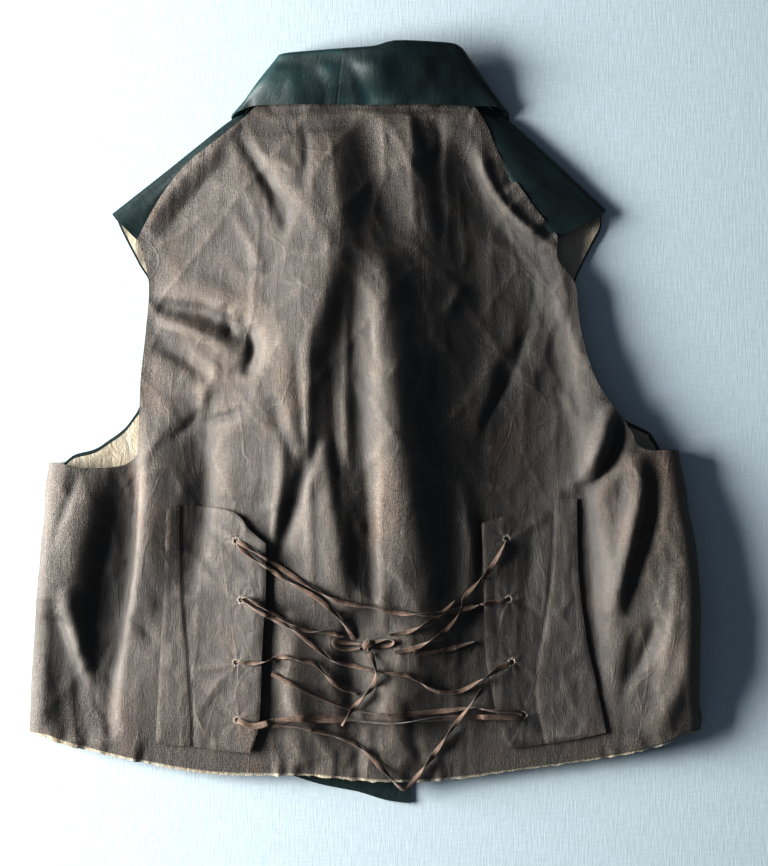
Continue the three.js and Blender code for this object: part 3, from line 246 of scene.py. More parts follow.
COLLAR_RIGHT = [
    {"edge": [-21.7, 240.0], "fold": [-16.2, 280.7], "seam": [-20.4, 251.8], "z": 12, "open": 3.4, "faces": 90},
    {"edge": [8, 239.6], "fold": [6, 282], "seam": [8, 252.3], "z": 12, "open": 3.4, "faces": 90},
    {"edge": [24, 239.6], "fold": [22, 286], "seam": [24, 252.2], "z": 12, "open": 3.4, "faces": 90},
    {"edge": [54, 240.0], "fold": [50, 286], "seam": [50, 251], "z": 12, "open": 3.4, "faces": 90},
    {"edge": [78, 239.2], "fold": [65, 285], "seam": [70, 247], "z": 11.5, "open": 3.4, "faces": 80},
    {"edge": [94, 239], "fold": [70, 282], "seam": [84, 243], "z": 10.5, "open": 3.2, "faces": 52},
    {"edge": [103, 235], "fold": [72, 278], "seam": [95.5, 237.5], "z": 7.5, "open": 2.6, "faces": 0},
    {"edge": [108, 231.5], "fold": [70, 270], "seam": [97, 234.5], "z": 3.4, "open": 2, "faces": -62},
    {"edge": [106, 222.5], "fold": [66, 261], "seam": [95.4, 227.5], "z": 2.2, "open": 1.55, "faces": -88},
    {"edge": [100, 214], "fold": [60, 250], "seam": [94, 219.5], "z": 2.2, "open": 1.55, "faces": -90},
    {"edge": [88, 178], "fold": [46, 205], "seam": [81.3, 182.4], "z": 2.2, "open": 1.55, "faces": -90},
    {"edge": [69, 134], "fold": [33, 158], "seam": [62.4, 138.5], "z": 2.2, "open": 1.55, "faces": -90},
    {"edge": [47, 94], "fold": [26, 112], "seam": [41, 99], "z": 2.2, "open": 1.55, "faces": -90},
]

COLLAR_FOLDS = [
    {"name": "left swell", "path": [[-86, 238], [-62, 244], [-32, 242]], "widths": [19, 9], "height": 2.4},
    {"name": "left dip", "path": [[-66, 274], [-48, 270], [-34, 272]], "widths": [6, 7], "height": -1.4},
    {"name": "seam rise", "path": [[-44, 276], [-28, 262], [-26, 244]], "widths": [9, 7], "height": 1.2},
    {"name": "slanting ridge", "path": [[0, 286], [11, 264], [27, 238]], "widths": [14, 10], "height": 2.6},
    {"name": "slanting dip", "path": [[-16, 276], [-6, 260], [6, 240]], "widths": [5, 6], "height": -1.2},
    {"name": "right ridge", "path": [[30, 284], [38, 264], [44, 244]], "widths": [10, 9], "height": 1.2},
]

# ---------- lacing tabs: edges, eyelets, the band sewn down along the outer edge, creases ----------
TAB_LEFT = {
    "outer": [[-158.5, -242], [-155, -179], [-152, -125], [-150, -64]],
    "inner": [[-87, -248.5], [-81, -230], [-79, -206], [-77.5, -166], [-75, -125], [-75, -90.5]],
    "top": [[-150, -64], [-139, -62.5], [-127, -62.5], [-99, -67.5], [-87, -80.5], [-75, -90.5]],
    "bottom": [[-158.5, -242], [-133, -244], [-111, -247], [-87, -248.5]],
    "eyelets": [[-97.3, -88.9], [-93.5, -133], [-97.3, -180.1], [-96.5, -223.4]],
    "lift_from": -118,
    "lift_to": -76,
    "band": [[-131, -243.5], [-131, -220], [-133, -192], [-134.5, -166], [-137.5, -138], [-139, -97],
             [-139, -63]],
    "creases": [
        {"path": [[-126, -71], [-103, -95], [-78, -125]], "widths": [6, 5], "height": -1.2},
        {"path": [[-130, -84], [-111, -120], [-98, -144]], "widths": [5, 5], "height": -1.0},
        {"path": [[-134, -185], [-118, -184], [-100, -182]], "widths": [4, 4], "height": 0.8},
        {"path": [[-128, -109], [-112, -119], [-97, -132]], "widths": [4, 4], "height": 0.7},
        {"path": [[-138, -94], [-128, -95], [-118, -97]], "widths": [4, 4], "height": -0.7},
        {"path": [[-97, -89], [-112, -80], [-124, -74]], "widths": [4, 4], "height": 0.8},
        {"path": [[-97, -180], [-112, -196], [-122, -214]], "widths": [5, 5], "height": 0.9},
        {"path": [[-96, -223], [-110, -215], [-124, -200]], "widths": [5, 4], "height": -0.9},
        {"path": [[-88, -100], [-84, -140], [-86, -175]], "widths": [4, 5], "height": 0.9},
    ],
}
TAB_RIGHT = {
    "outer": [[181, -233.3], [174, -198], [167, -165.7], [162, -127.7], [160, -99.6], [159.6, -57.4]],
    "inner": [[108.7, -246.2], [99.6, -225], [94.2, -198], [89.7, -169.9], [89, -127.7],
              [87.4, -75.6]],
    "top": [[159.6, -57.4], [140.6, -57.4], [131, -59.3], [118, -65.4], [99.6, -72.2],
            [87.4, -75.6]],
    "bottom": [[181, -233.3], [161, -237.9], [127.7, -243.2], [108.7, -246.2]],
    "eyelets": [[106.4, -87.4], [107.9, -133], [110.2, -180.1], [119.3, -220.4]],
    "lift_from": 132,
    "lift_to": 90,
    "band": [[136, -242], [129, -212], [129, -190], [132, -170], [136, -149], [141, -113],
             [143, -71]],
    "creases": [
        {"path": [[107, -87], [122, -80], [138, -66]], "widths": [5, 5], "height": 1.0},
        {"path": [[108, -133], [124, -140], [138, -152]], "widths": [4, 4], "height": -0.9},
        {"path": [[110, -180], [122, -186], [130, -196]], "widths": [4, 4], "height": 0.8},
        {"path": [[121, -223], [134, -230], [147, -237]], "widths": [4, 4], "height": -1.0},
        {"path": [[96, -100], [98, -140], [101, -180]], "widths": [5, 5], "height": -1.0},
        {"path": [[128, -75], [122, -110], [120, -150]], "widths": [6, 5], "height": -1.1},
        {"path": [[160, -80], [156, -120], [160, -160]], "widths": [4, 4], "height": -0.6},
        {"path": [[148, -190], [156, -212], [168, -234]], "widths": [5, 4], "height": 0.8},
    ],
}

# ---------- lace: each stretch's route, [x, y, height over the cloth], how often it
# turns about its own line, and what its ends are ----------
LACES = [
    {"name": "lace_top_across", "turns": 2.5, "far_end": "object", "route": [
        [-96.5, -88.2, 0], [-76, -101.1, 0], [-55.5, -114, 0], [-41, -123, 0], [-23.6, -132.5, 0],
        [-6.1, -136.8, 0], [11.4, -139.8, 0], [28.1, -142.9, 0], [48, -143.4, 3], [66, -141.5, 3],
        [88.9, -136.8, 0], [106, -133, 0]]},
    {"name": "lace_top_to_knot", "turns": 1.5, "far_end": "knot", "route": [
        [-95.5, -93.4, 0], [-78, -105.8, 1.2], [-61.6, -116.5, 0], [-41, -128.4, 0],
        [-28, -138, 0], [-17.5, -149.7, 0], [-9, -162, 0]]},
    {"name": "lace_second_across", "turns": 3, "far_end": "object", "route": [
        [-94.2, -131.8, 0], [-80.6, -141.1, 1.2], [-58.5, -152.6, 1.2], [-46.4, -161.5, 0],
        [-32.7, -172.5, 0], [-25.1, -178.5, 0], [-8, -183, 0], [15.2, -187.7, 0],
        [32.7, -190, 0], [48, -199.5, 0], [58.5, -202.9, 0], [71.4, -202.2, 0], [85.1, -194.6, 3],
        [98, -186, 3], [109, -180.6, 0.4]]},
    {"name": "lace_second_to_knot", "turns": 2, "far_end": "knot", "route": [
        [-92.6, -128.4, 0], [-79, -137, 1], [-62, -147.6, 1], [-52, -153, 0.5], [-40, -156.6, 0],
        [-28, -157.2, 0], [-17, -160.5, 0]]},
    {"name": "lace_third_to_tail", "turns": 2, "far_end": "knot", "route": [
        [-97.3, -180.1, 0], [-77.5, -179.7, 0], [-63.1, -175.5, 0], [-50.2, -177.8, 0],
        [-38.8, -180.4, 0], [-27.4, -192.3, 0], [-16, -201, 0], [-7, -204, 0]]},
    {"name": "lace_under_tab", "turns": 1, "far_end": "object", "route": [
        [-71, -188.6, 0], [-48.6, -199.1, 0], [-33.4, -206.7, 0], [-19, -212.6, 0],
        [-7, -216.4, 0], [12.9, -219.4, 0], [50, -217.8, 0], [80, -215, 1.5], [98, -216.4, 3.4],
        [117.5, -217.2, 1.2]]},
    {"name": "lace_bottom_across", "turns": 0.5, "far_end": "object", "route": [
        [-96.5, -223.4, 0.6], [-84, -227.6, 1.6], [-72.2, -225, 4.4], [-52.4, -222.2, 1.5],
        [-33.4, -222.6, 0], [-14.4, -223.6, 0], [5.3, -225.4, 0], [24.3, -225.7, 0],
        [45.6, -223.6, 0], [71.4, -222, 1], [98, -221.4, 1], [118, -223, 0.6]]},
    {"name": "lace_slack_loop", "turns": 3.5, "far_end": "object", "route": [
        [-70, -227.6, 0], [-47.1, -229.4, 0], [-27.4, -234.6, 0], [-9.1, -241.7, 0],
        [4.6, -252.3, 0], [17, -265.5, 1.5], [23, -272.5, 1], [28.9, -276.4, -1],
        [34, -272.5, 1], [39, -266, 1.5], [52.4, -248.5, 0], [63, -233, 1.5], [71, -222, 5.6],
        [77, -214.6, 5.8], [82, -208, 3.5], [88, -201, 1]]},
    {"name": "lace_right_to_knot", "turns": 2, "far_end": "knot", "route": [
        [105.8, -89, 0], [98, -103.4, 0.4], [91.2, -113.2, 1], [75.5, -130, 1], [72.2, -140.6, 0],
        [58.5, -157.3, 0], [38, -168.4, 0], [22, -172, 0]]},
    {"name": "lace_right_short", "turns": 1, "far_end": "knot", "route": [
        [67, -134, 0], [54.5, -145.2, 0], [44, -151.4, 0], [32, -156.6, 0], [18, -159, 0]]},
    {"name": "lace_right_stray", "turns": 0.5, "far_end": "bare", "route": [
        [36, -172.6, 0], [48, -172.8, 0], [62, -170.4, 0], [82, -165, 0]]},
    {"name": "lace_tail", "turns": 1.5, "far_end": "bare", "route": [
        [3, -172.9, 0.6], [7, -182.5, 3], [7.5, -190, 3], [4.6, -199.1, 0], [-2.3, -206.5, 3],
        [-9.1, -214.3, 3], [-14, -221, 5.6], [-18, -227.6, 5]]},
]
KNOT = {"x": 2, "y": -167, "radius": 5.2, "thickness": 5}
BOW_LOOPS = [
    {"name": "bow_left", "turns": 0.5, "route": [
        [-4, -169.5, 0], [-15.2, -170.2, 0], [-22.8, -167, 0], [-22.6, -163.6, 0], [-14, -165.2, 0],
        [-3, -166, 0.6]]},
    {"name": "bow_right", "turns": 0.5, "route": [
        [6, -168, 0], [12, -167.6, 0], [19, -166.6, 0], [21, -163.6, 0], [16, -162.6, 0],
        [7, -164.5, 0.6]]},
]
LACE_REST = 0.9
CAD_LACE = 2.4


# ---------- numbers along lines and over surfaces ----------
def mix(a, b, t):
    return a + (b - a) * t


def smooth(low, high, value):
    k = np.clip((value - low) / (high - low), 0, 1)
    return k * k * (3 - 2 * k)


def spline(points, t):
    """Places on the even spline through a row of points, t from 0 at the first to 1 at the last."""
    points = np.asarray(points, float)
    place = np.clip(t, 0, 1) * (len(points) - 1)
    index = np.minimum(place.astype(int), len(points) - 2)
    k = (place - index)[..., None]
    before, start, end, after = (points[np.clip(index + d, 0, len(points) - 1)] for d in (-1, 0, 1, 2))
    leave, arrive = (end - before) / 2, (after - start) / 2
    cubic = 2 * start - 2 * end + leave + arrive
    square = 3 * end - 3 * start - 2 * leave - arrive
    return cubic * k**3 + square * k**2 + leave * k + start


def shares(points):
    """How far along a polyline each of its points lies, from 0 to 1."""
    run = np.cumsum(np.linalg.norm(np.diff(points, axis=0), axis=1))
    return np.concatenate([[0], run]) / run[-1]


def curve(points):
    """A spline called with shares of its own length."""
    fine = spline(points, np.linspace(0, 1, 401))
    share = shares(fine)
    return lambda t: np.stack([np.interp(t, share, fine[:, k]) for k in range(fine.shape[1])], -1)


def chain(pieces):
    """One curve made of several, each with its share of the way."""
    def at(t):
        t = np.asarray(t, float)
        out = np.zeros(t.shape + (2,))
        start = 0
        for piece, share in pieces:
            here = t >= start - 1e-9
            out[here] = piece(np.clip((t[here] - start) / share, 0, 1))
            start += share
        return out
    return at


def patch(bottom, top, left, right):
    """The surface between four edges, s across and t up."""
    corners = [edge(np.array(end, float)) for edge in (bottom, top) for end in (0, 1)]

    def at(s, t):
        across, up = s[..., None], t[..., None]
        ruled = mix(bottom(s), top(s), up) + mix(left(t), right(t), across)
        return ruled - mix(mix(corners[0], corners[1], across), mix(corners[2], corners[3], across), up)
    return at


def straight(start, end):
    start, end = np.array(start, float), np.array(end, float)
    return lambda t: mix(start, end, np.asarray(t, float)[..., None])


def nearest(line, x, y):
    """Distance to a polyline, how far along it, and the side: 1 on the left of the way."""
    best = np.full(x.shape, np.inf)
    along, side = np.zeros(x.shape), np.ones(x.shape)
    for i, ((ax, ay), (bx, by)) in enumerate(zip(line[:-1], line[1:])):
        dx, dy = bx - ax, by - ay
        k = np.clip(((x - ax) * dx + (y - ay) * dy) / (dx * dx + dy * dy), 0, 1)
        distance = np.hypot(x - ax - dx * k, y - ay - dy * k)
        closer = distance < best
        best = np.where(closer, distance, best)
        along = np.where(closer, (i + k) / (len(line) - 1), along)
        side = np.where(closer, np.sign(dx * (y - ay) - dy * (x - ax)), side)
    return best, along, side


def noise(x, y, seed):
    """Seeded smooth noise from -1 to 1, with a lump for each unit."""
    lattice = np.random.default_rng(seed).uniform(-1, 1, (64, 64))
    i, j = np.floor(x).astype(int), np.floor(y).astype(int)
    u, v = (k**3 * (k * (6 * k - 15) + 10) for k in (x - i, y - j))

    def at(a, b):
        return lattice[(i + a) % 64, (j + b) % 64]
    return mix(mix(at(0, 0), at(1, 0), u), mix(at(0, 1), at(1, 1), u), v)


def ridged(x, y, seed):
    """Noise folded into soft ridges, from 0 to 1."""
    return (1 - np.abs(noise(x, y, seed))) ** 3


# ---------- heights ----------
FOLD_STEPS = np.linspace(0, 1, 9)


def fold_sum(folds, x, y, sharpness):
    total = np.zeros(x.shape)
    for fold in folds:
        line = curve(fold["path"])(FOLD_STEPS)
        reach = 3 * max(fold["widths"])
        low, high = line.min(axis=0) - reach, line.max(axis=0) + reach
        here = (x > low[0]) & (x < high[0]) & (y > low[1]) & (y < high[1])
        if not here.any():
            continue
        distance, along, side = nearest(line, x[here], y[here])
        width = np.where(side > 0, *fold["widths"])
        taper = np.sin(np.pi * np.clip(along, 0.001, 0.999)) ** 0.6
        total[here] += fold["height"] * taper * np.exp(-((distance / width) ** sharpness))
    return total


def cubic(values, place):
    """The even spline through a row of values (their first axis), at places counted from 0."""
    index = np.clip(place.astype(int), 0, len(values) - 2)
    k = place - index
    column = np.arange(len(place))
    every = values.ndim == 2
    before, start, end, after = (
        values[np.clip(index + d, 0, len(values) - 1), column] if every
        else values[np.clip(index + d, 0, len(values) - 1)] for d in (-1, 0, 1, 2))
    leave, arrive = (end - before) / 2, (after - start) / 2
    return ((2 * start - 2 * end + leave + arrive) * k + 3 * end - 3 * start - 2 * leave - arrive) * k * k + leave * k + start


def base_height(x, y):
    rows = np.array([row["y"] for row in HEIGHTS], float)
    column = np.clip((x - HEIGHT_STATIONS[0]) / 80, 0, len(HEIGHT_STATIONS) - 1)
    across = np.stack([cubic(np.array(row["at"], float), column) for row in HEIGHTS])
    return cubic(across, np.interp(y, rows, np.arange(len(rows))))


def back_height(x, y):
    z = base_height(x, y) + FOLD_GAIN * (fold_sum(FOLDS, x, y, 2) + fold_sum(SLOPES, x, y, 2))
    return np.where(z < LOW_CLOTH, mix(LOW_CLOTH, z, 0.4), z)


def painted_shade(x, y):
    """Painted shade on the cotton: 1 where its colour is left as it is, less where it is darkened, on the right half
    and the left side.
    """
    right = smooth(10, 90, x) * (1 - smooth(188, 214, x) * smooth(20, -20, y))
    left = smooth(-150, -176, x) * smooth(-50, -110, y) * 0.9
    return 1 - 0.42 * np.maximum(right, left)


def under_tabs(x, y):
    """1 where a lacing tab lies on the back, 0 clear of it."""
    rows = smooth(-60, -70, y)
    left = smooth(-163, -156, x) * smooth(-66, -74, x)
    right = smooth(80, 88, x) * smooth(184, 176, x)
    return rows * (left + right)


def puckers(x, y, line, pitch, depth, seed):
    """Small gathers square to a seam line, dying away within depth on either side."""
    distance, along, _ = nearest(line, x, y)
    length = np.linalg.norm(np.diff(line, axis=0), axis=1).sum()
    wave = noise(along * length / pitch, np.full(x.shape, 3.3), seed)
    return wave * np.exp(-((distance / depth) ** 2))


HEM_LINE = curve(BACK["hem"])(np.linspace(0, 1, 30))
NECK_LINE = curve(BACK["neck"])(np.linspace(0, 1, 16))
LEFT_SEAM = curve(BACK["left_shoulder"])
RIGHT_SEAM = curve(BACK["right_shoulder"][::-1])


def fine_relief(x, y, wrinkle):
    """Creases, gathers and small wrinkles, with the soft wrinkles' height given."""
    creases = CREASE_GAIN * fold_sum(CREASES, x, y, 1.5)
    bend = 0.35 * noise(x / 50, y / 50, 1)
    upright = ridged(x / 26 + bend, y / 95 + bend, 2) - 0.4
    slanting = ridged((x + 0.7 * y) / 38 + bend, (y - 0.7 * x) / 90, 3) - 0.4
    crossing = ridged((x - 0.8 * y) / 42, (y + 0.8 * x) / 85 + bend, 4) - 0.4
    small = ridged(x / 11 + bend, y / 34, 5) - 0.4
    pressed = ridged(x / 17 + bend, y / 150 + bend, 10) ** 4 - 0.1
    slack = ridged((x + 0.45 * y) / 24 + bend, (y - 0.45 * x) / 60, 13) ** 4 - 0.1
    soft = 0.75 * upright + 0.8 * slanting + 0.7 * crossing + 0.2 * small + 0.4 * pressed + 0.55 * slack
    gathers = 1.2 * puckers(x, y, HEM_LINE, 5.5, 10, 6) + 0.9 * puckers(x, y, NECK_LINE, 5, 13, 7)
    gathers += 0.8 * puckers(x, y, LEFT_SEAM(np.linspace(0, 1, 12)), 5, 7, 8)
    gathers += 2.0 * puckers(x, y, RIGHT_SEAM(np.linspace(0, 0.5, 8)), 5.5, 10, 9)
    return creases + wrinkle * soft + gathers


def cloth_height(x, y, wrinkle=0.9):
    """The back's middle with all its relief, calm under the tabs and tucked in at the neck's corners."""
    tuck = 2.6 * smooth(232, 242, y) * smooth(45, 72, np.abs(x + 4))
    return back_height(x, y) + fine_relief(x, y, wrinkle) * (1 - under_tabs(x, y)) - tuck


# ---------- meshes ----------
def deselect():
    bpy.ops.object.select_all(action="DESELECT")


def activate(piece):
    deselect()
    piece.select_set(True)
    bpy.context.view_layer.objects.active = piece


def read_points(mesh):
    points = np.empty(len(mesh.vertices) * 3)
    mesh.vertices.foreach_get("co", points)
    return points.reshape(-1, 3) / MM


def read_normals(mesh):
    normals = np.empty(len(mesh.vertices) * 3)
    mesh.vertices.foreach_get("normal", normals)
    return normals.reshape(-1, 3)


def write_points(mesh, points):
    mesh.vertices.foreach_set("co", (points * MM).ravel())
    mesh.update()


def grid(name, columns, rows, place):
    """A grid of cells; place(column, row) gives its points and cloth coordinates."""
    deselect()
    bpy.ops.mesh.primitive_grid_add(x_subdivisions=columns, y_subdivisions=rows, size=2, calc_uvs=True)
    piece = bpy.context.object
    piece.name = piece.data.name = name
    mesh = piece.data
    corners = read_points(mesh) * MM
    column = np.rint((corners[:, 0] + 1) / 2 * columns)
    row = np.rint((corners[:, 1] + 1) / 2 * rows)
    points, cloth = place(column, row)
    write_points(mesh, points)
    loops = np.empty(len(mesh.loops), int)
    mesh.loops.foreach_get("vertex_index", loops)
    mesh.uv_layers.active.name = "cloth"
    mesh.uv_layers.active.data.foreach_set("uv", (cloth[loops] * MM).ravel())
    return piece


def joined(pieces, merge=0.0):
    """Makes one object of several, with the points closer than merge made one."""
    activate(pieces[0])
    for piece in pieces[1:]:
        piece.select_set(True)
    bpy.ops.object.join()
    piece = bpy.context.object
    if merge:
        bpy.ops.object.mode_set(mode="EDIT")
        bpy.ops.mesh.select_all(action="SELECT")
        bpy.ops.mesh.remove_doubles(threshold=merge * MM)
        bpy.ops.mesh.normals_make_consistent(inside=False)
        bpy.ops.object.mode_set(mode="OBJECT")
    return piece


def face_up(piece, up=True):
    """Turns the mesh over where its mean normal points the wrong way."""
    mean = read_normals(piece.data)[:, 2].mean()
    if (mean > 0) != up:
        activate(piece)
        bpy.ops.object.mode_set(mode="EDIT")
        bpy.ops.mesh.select_all(action="SELECT")
        bpy.ops.mesh.flip_normals()
        bpy.ops.object.mode_set(mode="OBJECT")


def mark_ridges(piece, rounds=14, full=0.9):
    """Stores how far each point stands over its surroundings, 0.5 on the level."""
    mesh = piece.data
    points = read_points(mesh)
    ends = np.empty(len(mesh.edges) * 2, int)
    mesh.edges.foreach_get("vertices", ends)
    a, b = ends.reshape(-1, 2).T
    count = np.bincount(np.concatenate([a, b]), minlength=len(points))[:, None]
    calm = points.copy()
    for _ in range(rounds):
        total = np.zeros_like(calm)
        for axis in range(3):
            total[:, axis] = np.bincount(a, calm[b, axis], len(points)) + np.bincount(b, calm[a, axis], len(points))
        calm = mix(calm, total / np.maximum(count, 1), 0.8)
    stand = ((points - calm) * read_normals(mesh)).sum(axis=1)
    ridge = mesh.attributes.new("ridge", "FLOAT", "POINT")
    ridge.data.foreach_set("value", np.clip(0.5 + stand / (2 * full), 0, 1).astype(np.float32))


def mark_painted_shade(piece):
    # Stores the painted shade, darker on the right half and the left side, as a point attribute.
    points = read_points(piece.data)
    shade_attribute = piece.data.attributes.new("painted_shade", "FLOAT", "POINT")
    shade_attribute.data.foreach_set("value", painted_shade(points[:, 0], points[:, 1]).astype(np.float32))


def give_wall(piece, wall, under=0, rim=0):
    """A sheet's thickness; under and rim are the material slots of its back and edges."""
    activate(piece)
    wall_maker = piece.modifiers.new("wall", "SOLIDIFY")
    wall_maker.thickness = wall * MM
    wall_maker.offset = 0
    wall_maker.material_offset = under
    wall_maker.material_offset_rim = rim
    bpy.ops.object.modifier_apply(modifier=wall_maker.name)
    bpy.ops.object.shade_smooth_by_angle(angle=math.radians(50))


def dress(piece, materials):
    piece.data.materials.clear()
    for material in materials:
        piece.data.materials.append(material)


def settle(piece, slot, *nodes):
    """Puts a finished piece on the part: its body and the solids it stands for; slot is not used."""
    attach(piece, "root")
    if nodes:
        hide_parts(*nodes)
    return piece


def tube(name, sections, closed=False, ends=True):
    """A mesh through rings of points, an array of rings by points by three, in millimetres."""
    rings, around = sections.shape[:2]
    points = sections.reshape(-1, 3) * MM
    faces = []
    for i in range(rings if closed else rings - 1):
        j = (i + 1) % rings
        for k in range(around):
            m = (k + 1) % around
            faces.append((i * around + k, i * around + m, j * around + m, j * around + k))
    if ends and not closed:
        faces.append(tuple(range(around))[::-1])
        faces.append(tuple(range((rings - 1) * around, rings * around)))
    mesh = bpy.data.meshes.new(name)
    mesh.from_pydata(points.tolist(), [], faces)
    piece = bpy.data.objects.new(name, mesh)
    bpy.context.scene.collection.objects.link(piece)
    layer = mesh.uv_layers.new(name="cloth")
    loops = np.empty(len(mesh.loops), int)
    mesh.loops.foreach_get("vertex_index", loops)
    centre = sections.mean(axis=1)
    run = np.concatenate([[0], np.cumsum(np.linalg.norm(np.diff(centre, axis=0), axis=1))])
    width = np.linalg.norm(sections[0, 0] - sections[0, around // 2])
    across = np.abs(np.arange(around) / around * 2 - 1) * width
    cloth = np.stack([np.tile(across, rings), np.repeat(run, around)], -1)
    layer.data.foreach_set("uv", (cloth[loops] * MM).ravel())
    activate(piece)
    bpy.ops.object.mode_set(mode="EDIT")
    bpy.ops.mesh.select_all(action="SELECT")
    bpy.ops.mesh.normals_make_consistent(inside=False)
    bpy.ops.object.mode_set(mode="OBJECT")
    bpy.ops.object.shade_smooth_by_angle(angle=math.radians(60))
    return piece


def stamped(name, template, places, forwards, ups, scales):
    """Copies of a template made one mesh, each at a place, its X along forward and Z along up."""
    shape = read_points(template.data)
    faces = [tuple(face.vertices) for face in template.data.polygons]
    forwards = np.asarray(forwards, float)
    forwards /= np.linalg.norm(forwards, axis=1)[:, None]
    ups = np.asarray(ups, float)
    sides = np.cross(ups, forwards)
    sides /= np.linalg.norm(sides, axis=1)[:, None]
    ups = np.cross(forwards, sides)
    points, all_faces = [], []
    for place, forward, side, up, scale in zip(places, forwards, sides, ups, scales):
        first = len(points) * len(shape)
        local = shape * scale
        points.append(place + local[:, :1] * forward + local[:, 1:2] * side + local[:, 2:] * up)
        all_faces += [tuple(first + i for i in face) for face in faces]
    mesh = bpy.data.meshes.new(name)
    mesh.from_pydata((np.concatenate(points) * MM).tolist(), [], all_faces)
    piece = bpy.data.objects.new(name, mesh)
    bpy.context.scene.collection.objects.link(piece)
    activate(piece)
    bpy.ops.object.shade_smooth()
    return piece


def stitch_template(length, thickness):
    """A short thread that dives into the cloth at both ends."""
    deselect()
    bpy.ops.mesh.primitive_uv_sphere_add(segments=6, ring_count=6, radius=0.5 * MM, rotation=(0, math.pi / 2, 0))
    stitch = bpy.context.object
    bpy.ops.object.transform_apply(location=True, rotation=True, scale=True)
    points = read_points(stitch.data) * (length, thickness, thickness)
    points[:, 2] -= thickness * 0.9 * (2 * points[:, 0] / length) ** 2
    write_points(stitch.data, points)
    return stitch


def remove(*pieces):
    for piece in pieces:
        bpy.data.objects.remove(piece, do_unlink=True)


# ---------- materials ----------
def node(tree, kind, inputs=None, **settings):
    """A node with its settings, and its inputs given values or linked to sockets."""
    made = tree.nodes.new(kind)
    for key, value in settings.items():
        setattr(made, key, value)
    for key, value in (inputs or {}).items():
        if isinstance(value, bpy.types.NodeSocket):
            tree.links.new(value, made.inputs[key])
        else:
            made.inputs[key].default_value = value
    return made


def calculate(tree, operation, *values):
    return node(tree, "ShaderNodeMath", dict(enumerate(values)), operation=operation).outputs[0]


def blend_colour(tree, factor, a, b, mode="MIX"):
    inputs = {"Factor": factor, "A": a, "B": b}
    made = tree.nodes.new("ShaderNodeMix")
    made.data_type = "RGBA"
    made.blend_type = mode
    sockets = {"Factor": made.inputs[0], "A": made.inputs[6], "B": made.inputs[7]}
    for key, value in inputs.items():
        if isinstance(value, bpy.types.NodeSocket):
            tree.links.new(value, sockets[key])
        else:
            sockets[key].default_value = value
    return made.outputs[2]


def stretch(tree, vector, x, y):
    scaled = node(tree, "ShaderNodeVectorMath", {0: vector, 1: (x, y, 1)}, operation="MULTIPLY")
    return scaled.outputs[0]


def grain(tree, vector, scale, detail=2.0, roughness=0.55, distortion=0.0):
    inputs = {"Vector": vector, "Scale": scale, "Detail": detail, "Roughness": roughness,
              "Distortion": distortion}
    return node(tree, "ShaderNodeTexNoise", inputs).outputs["Fac"]


def spread(tree, value, low, high, to_low=0.0, to_high=1.0):
    inputs = {"Value": value, "From Min": low, "From Max": high, "To Min": to_low, "To Max": to_high}
    return node(tree, "ShaderNodeMapRange", inputs).outputs[0]


def new_group(name, inputs, outputs):
    """A shader node group with named inputs and outputs; gives it with its two end nodes."""
    group = bpy.data.node_groups.new(name, "ShaderNodeTree")
    for label, kind, default in inputs:
        socket = group.interface.new_socket(name=label, in_out="INPUT", socket_type=kind)
        if default is not None:
            socket.default_value = default
    for label, kind in outputs:
        group.interface.new_socket(name=label, in_out="OUTPUT", socket_type=kind)
    start = group.nodes.new("NodeGroupInput")
    end = group.nodes.new("NodeGroupOutput")
    return group, start, end


def use_group(tree, group, **inputs):
    made = tree.nodes.new("ShaderNodeGroup")
    made.node_tree = group
    for key, value in inputs.items():
        label = key.replace("_", " ")
        if isinstance(value, bpy.types.NodeSocket):
            tree.links.new(value, made.inputs[label])
        else:
            made.inputs[label].default_value = value
    return made


def weave_group():
    """Plain weave with uneven threads: its height, and streaks along warp and weft."""
    group, start, end = new_group(
        "plain weave",
        [("Vector", "NodeSocketVector", None), ("Threads", "NodeSocketFloat", 1800.0)],
        [("Height", "NodeSocketFloat"), ("Warp", "NodeSocketFloat"), ("Weft", "NodeSocketFloat")],
    )
    vector, threads = start.outputs["Vector"], start.outputs["Threads"]
    apart = node(group, "ShaderNodeSeparateXYZ", {0: vector})
    across = calculate(group, "MULTIPLY", apart.outputs[0], threads)
    up = calculate(group, "MULTIPLY", apart.outputs[1], threads)
    warp_thread = calculate(group, "SINE", calculate(group, "MULTIPLY", across, 2 * math.pi))
    weft_thread = calculate(group, "SINE", calculate(group, "MULTIPLY", up, 2 * math.pi))
    crossing = calculate(group, "MULTIPLY", warp_thread, weft_thread)
    def thread_shades(x, y, fine, coarse):
        both = (grain(group, stretch(group, vector, x, y), scale, 2, 0.6) for scale in (fine, coarse))
        return calculate(group, "MULTIPLY", calculate(group, "ADD", *both), 0.5)

    warp = thread_shades(1, 0.2, 1500, 820)
    weft = thread_shades(0.22, 1, 1400, 760)
    slubs = calculate(group, "ADD", calculate(group, "MULTIPLY", warp, 1.6), weft)
    height = calculate(group, "ADD", calculate(group, "MULTIPLY", crossing, 0.25), slubs)
    group.links.new(height, end.inputs["Height"])
    group.links.new(warp, end.inputs["Warp"])
    group.links.new(weft, end.inputs["Weft"])
    return group


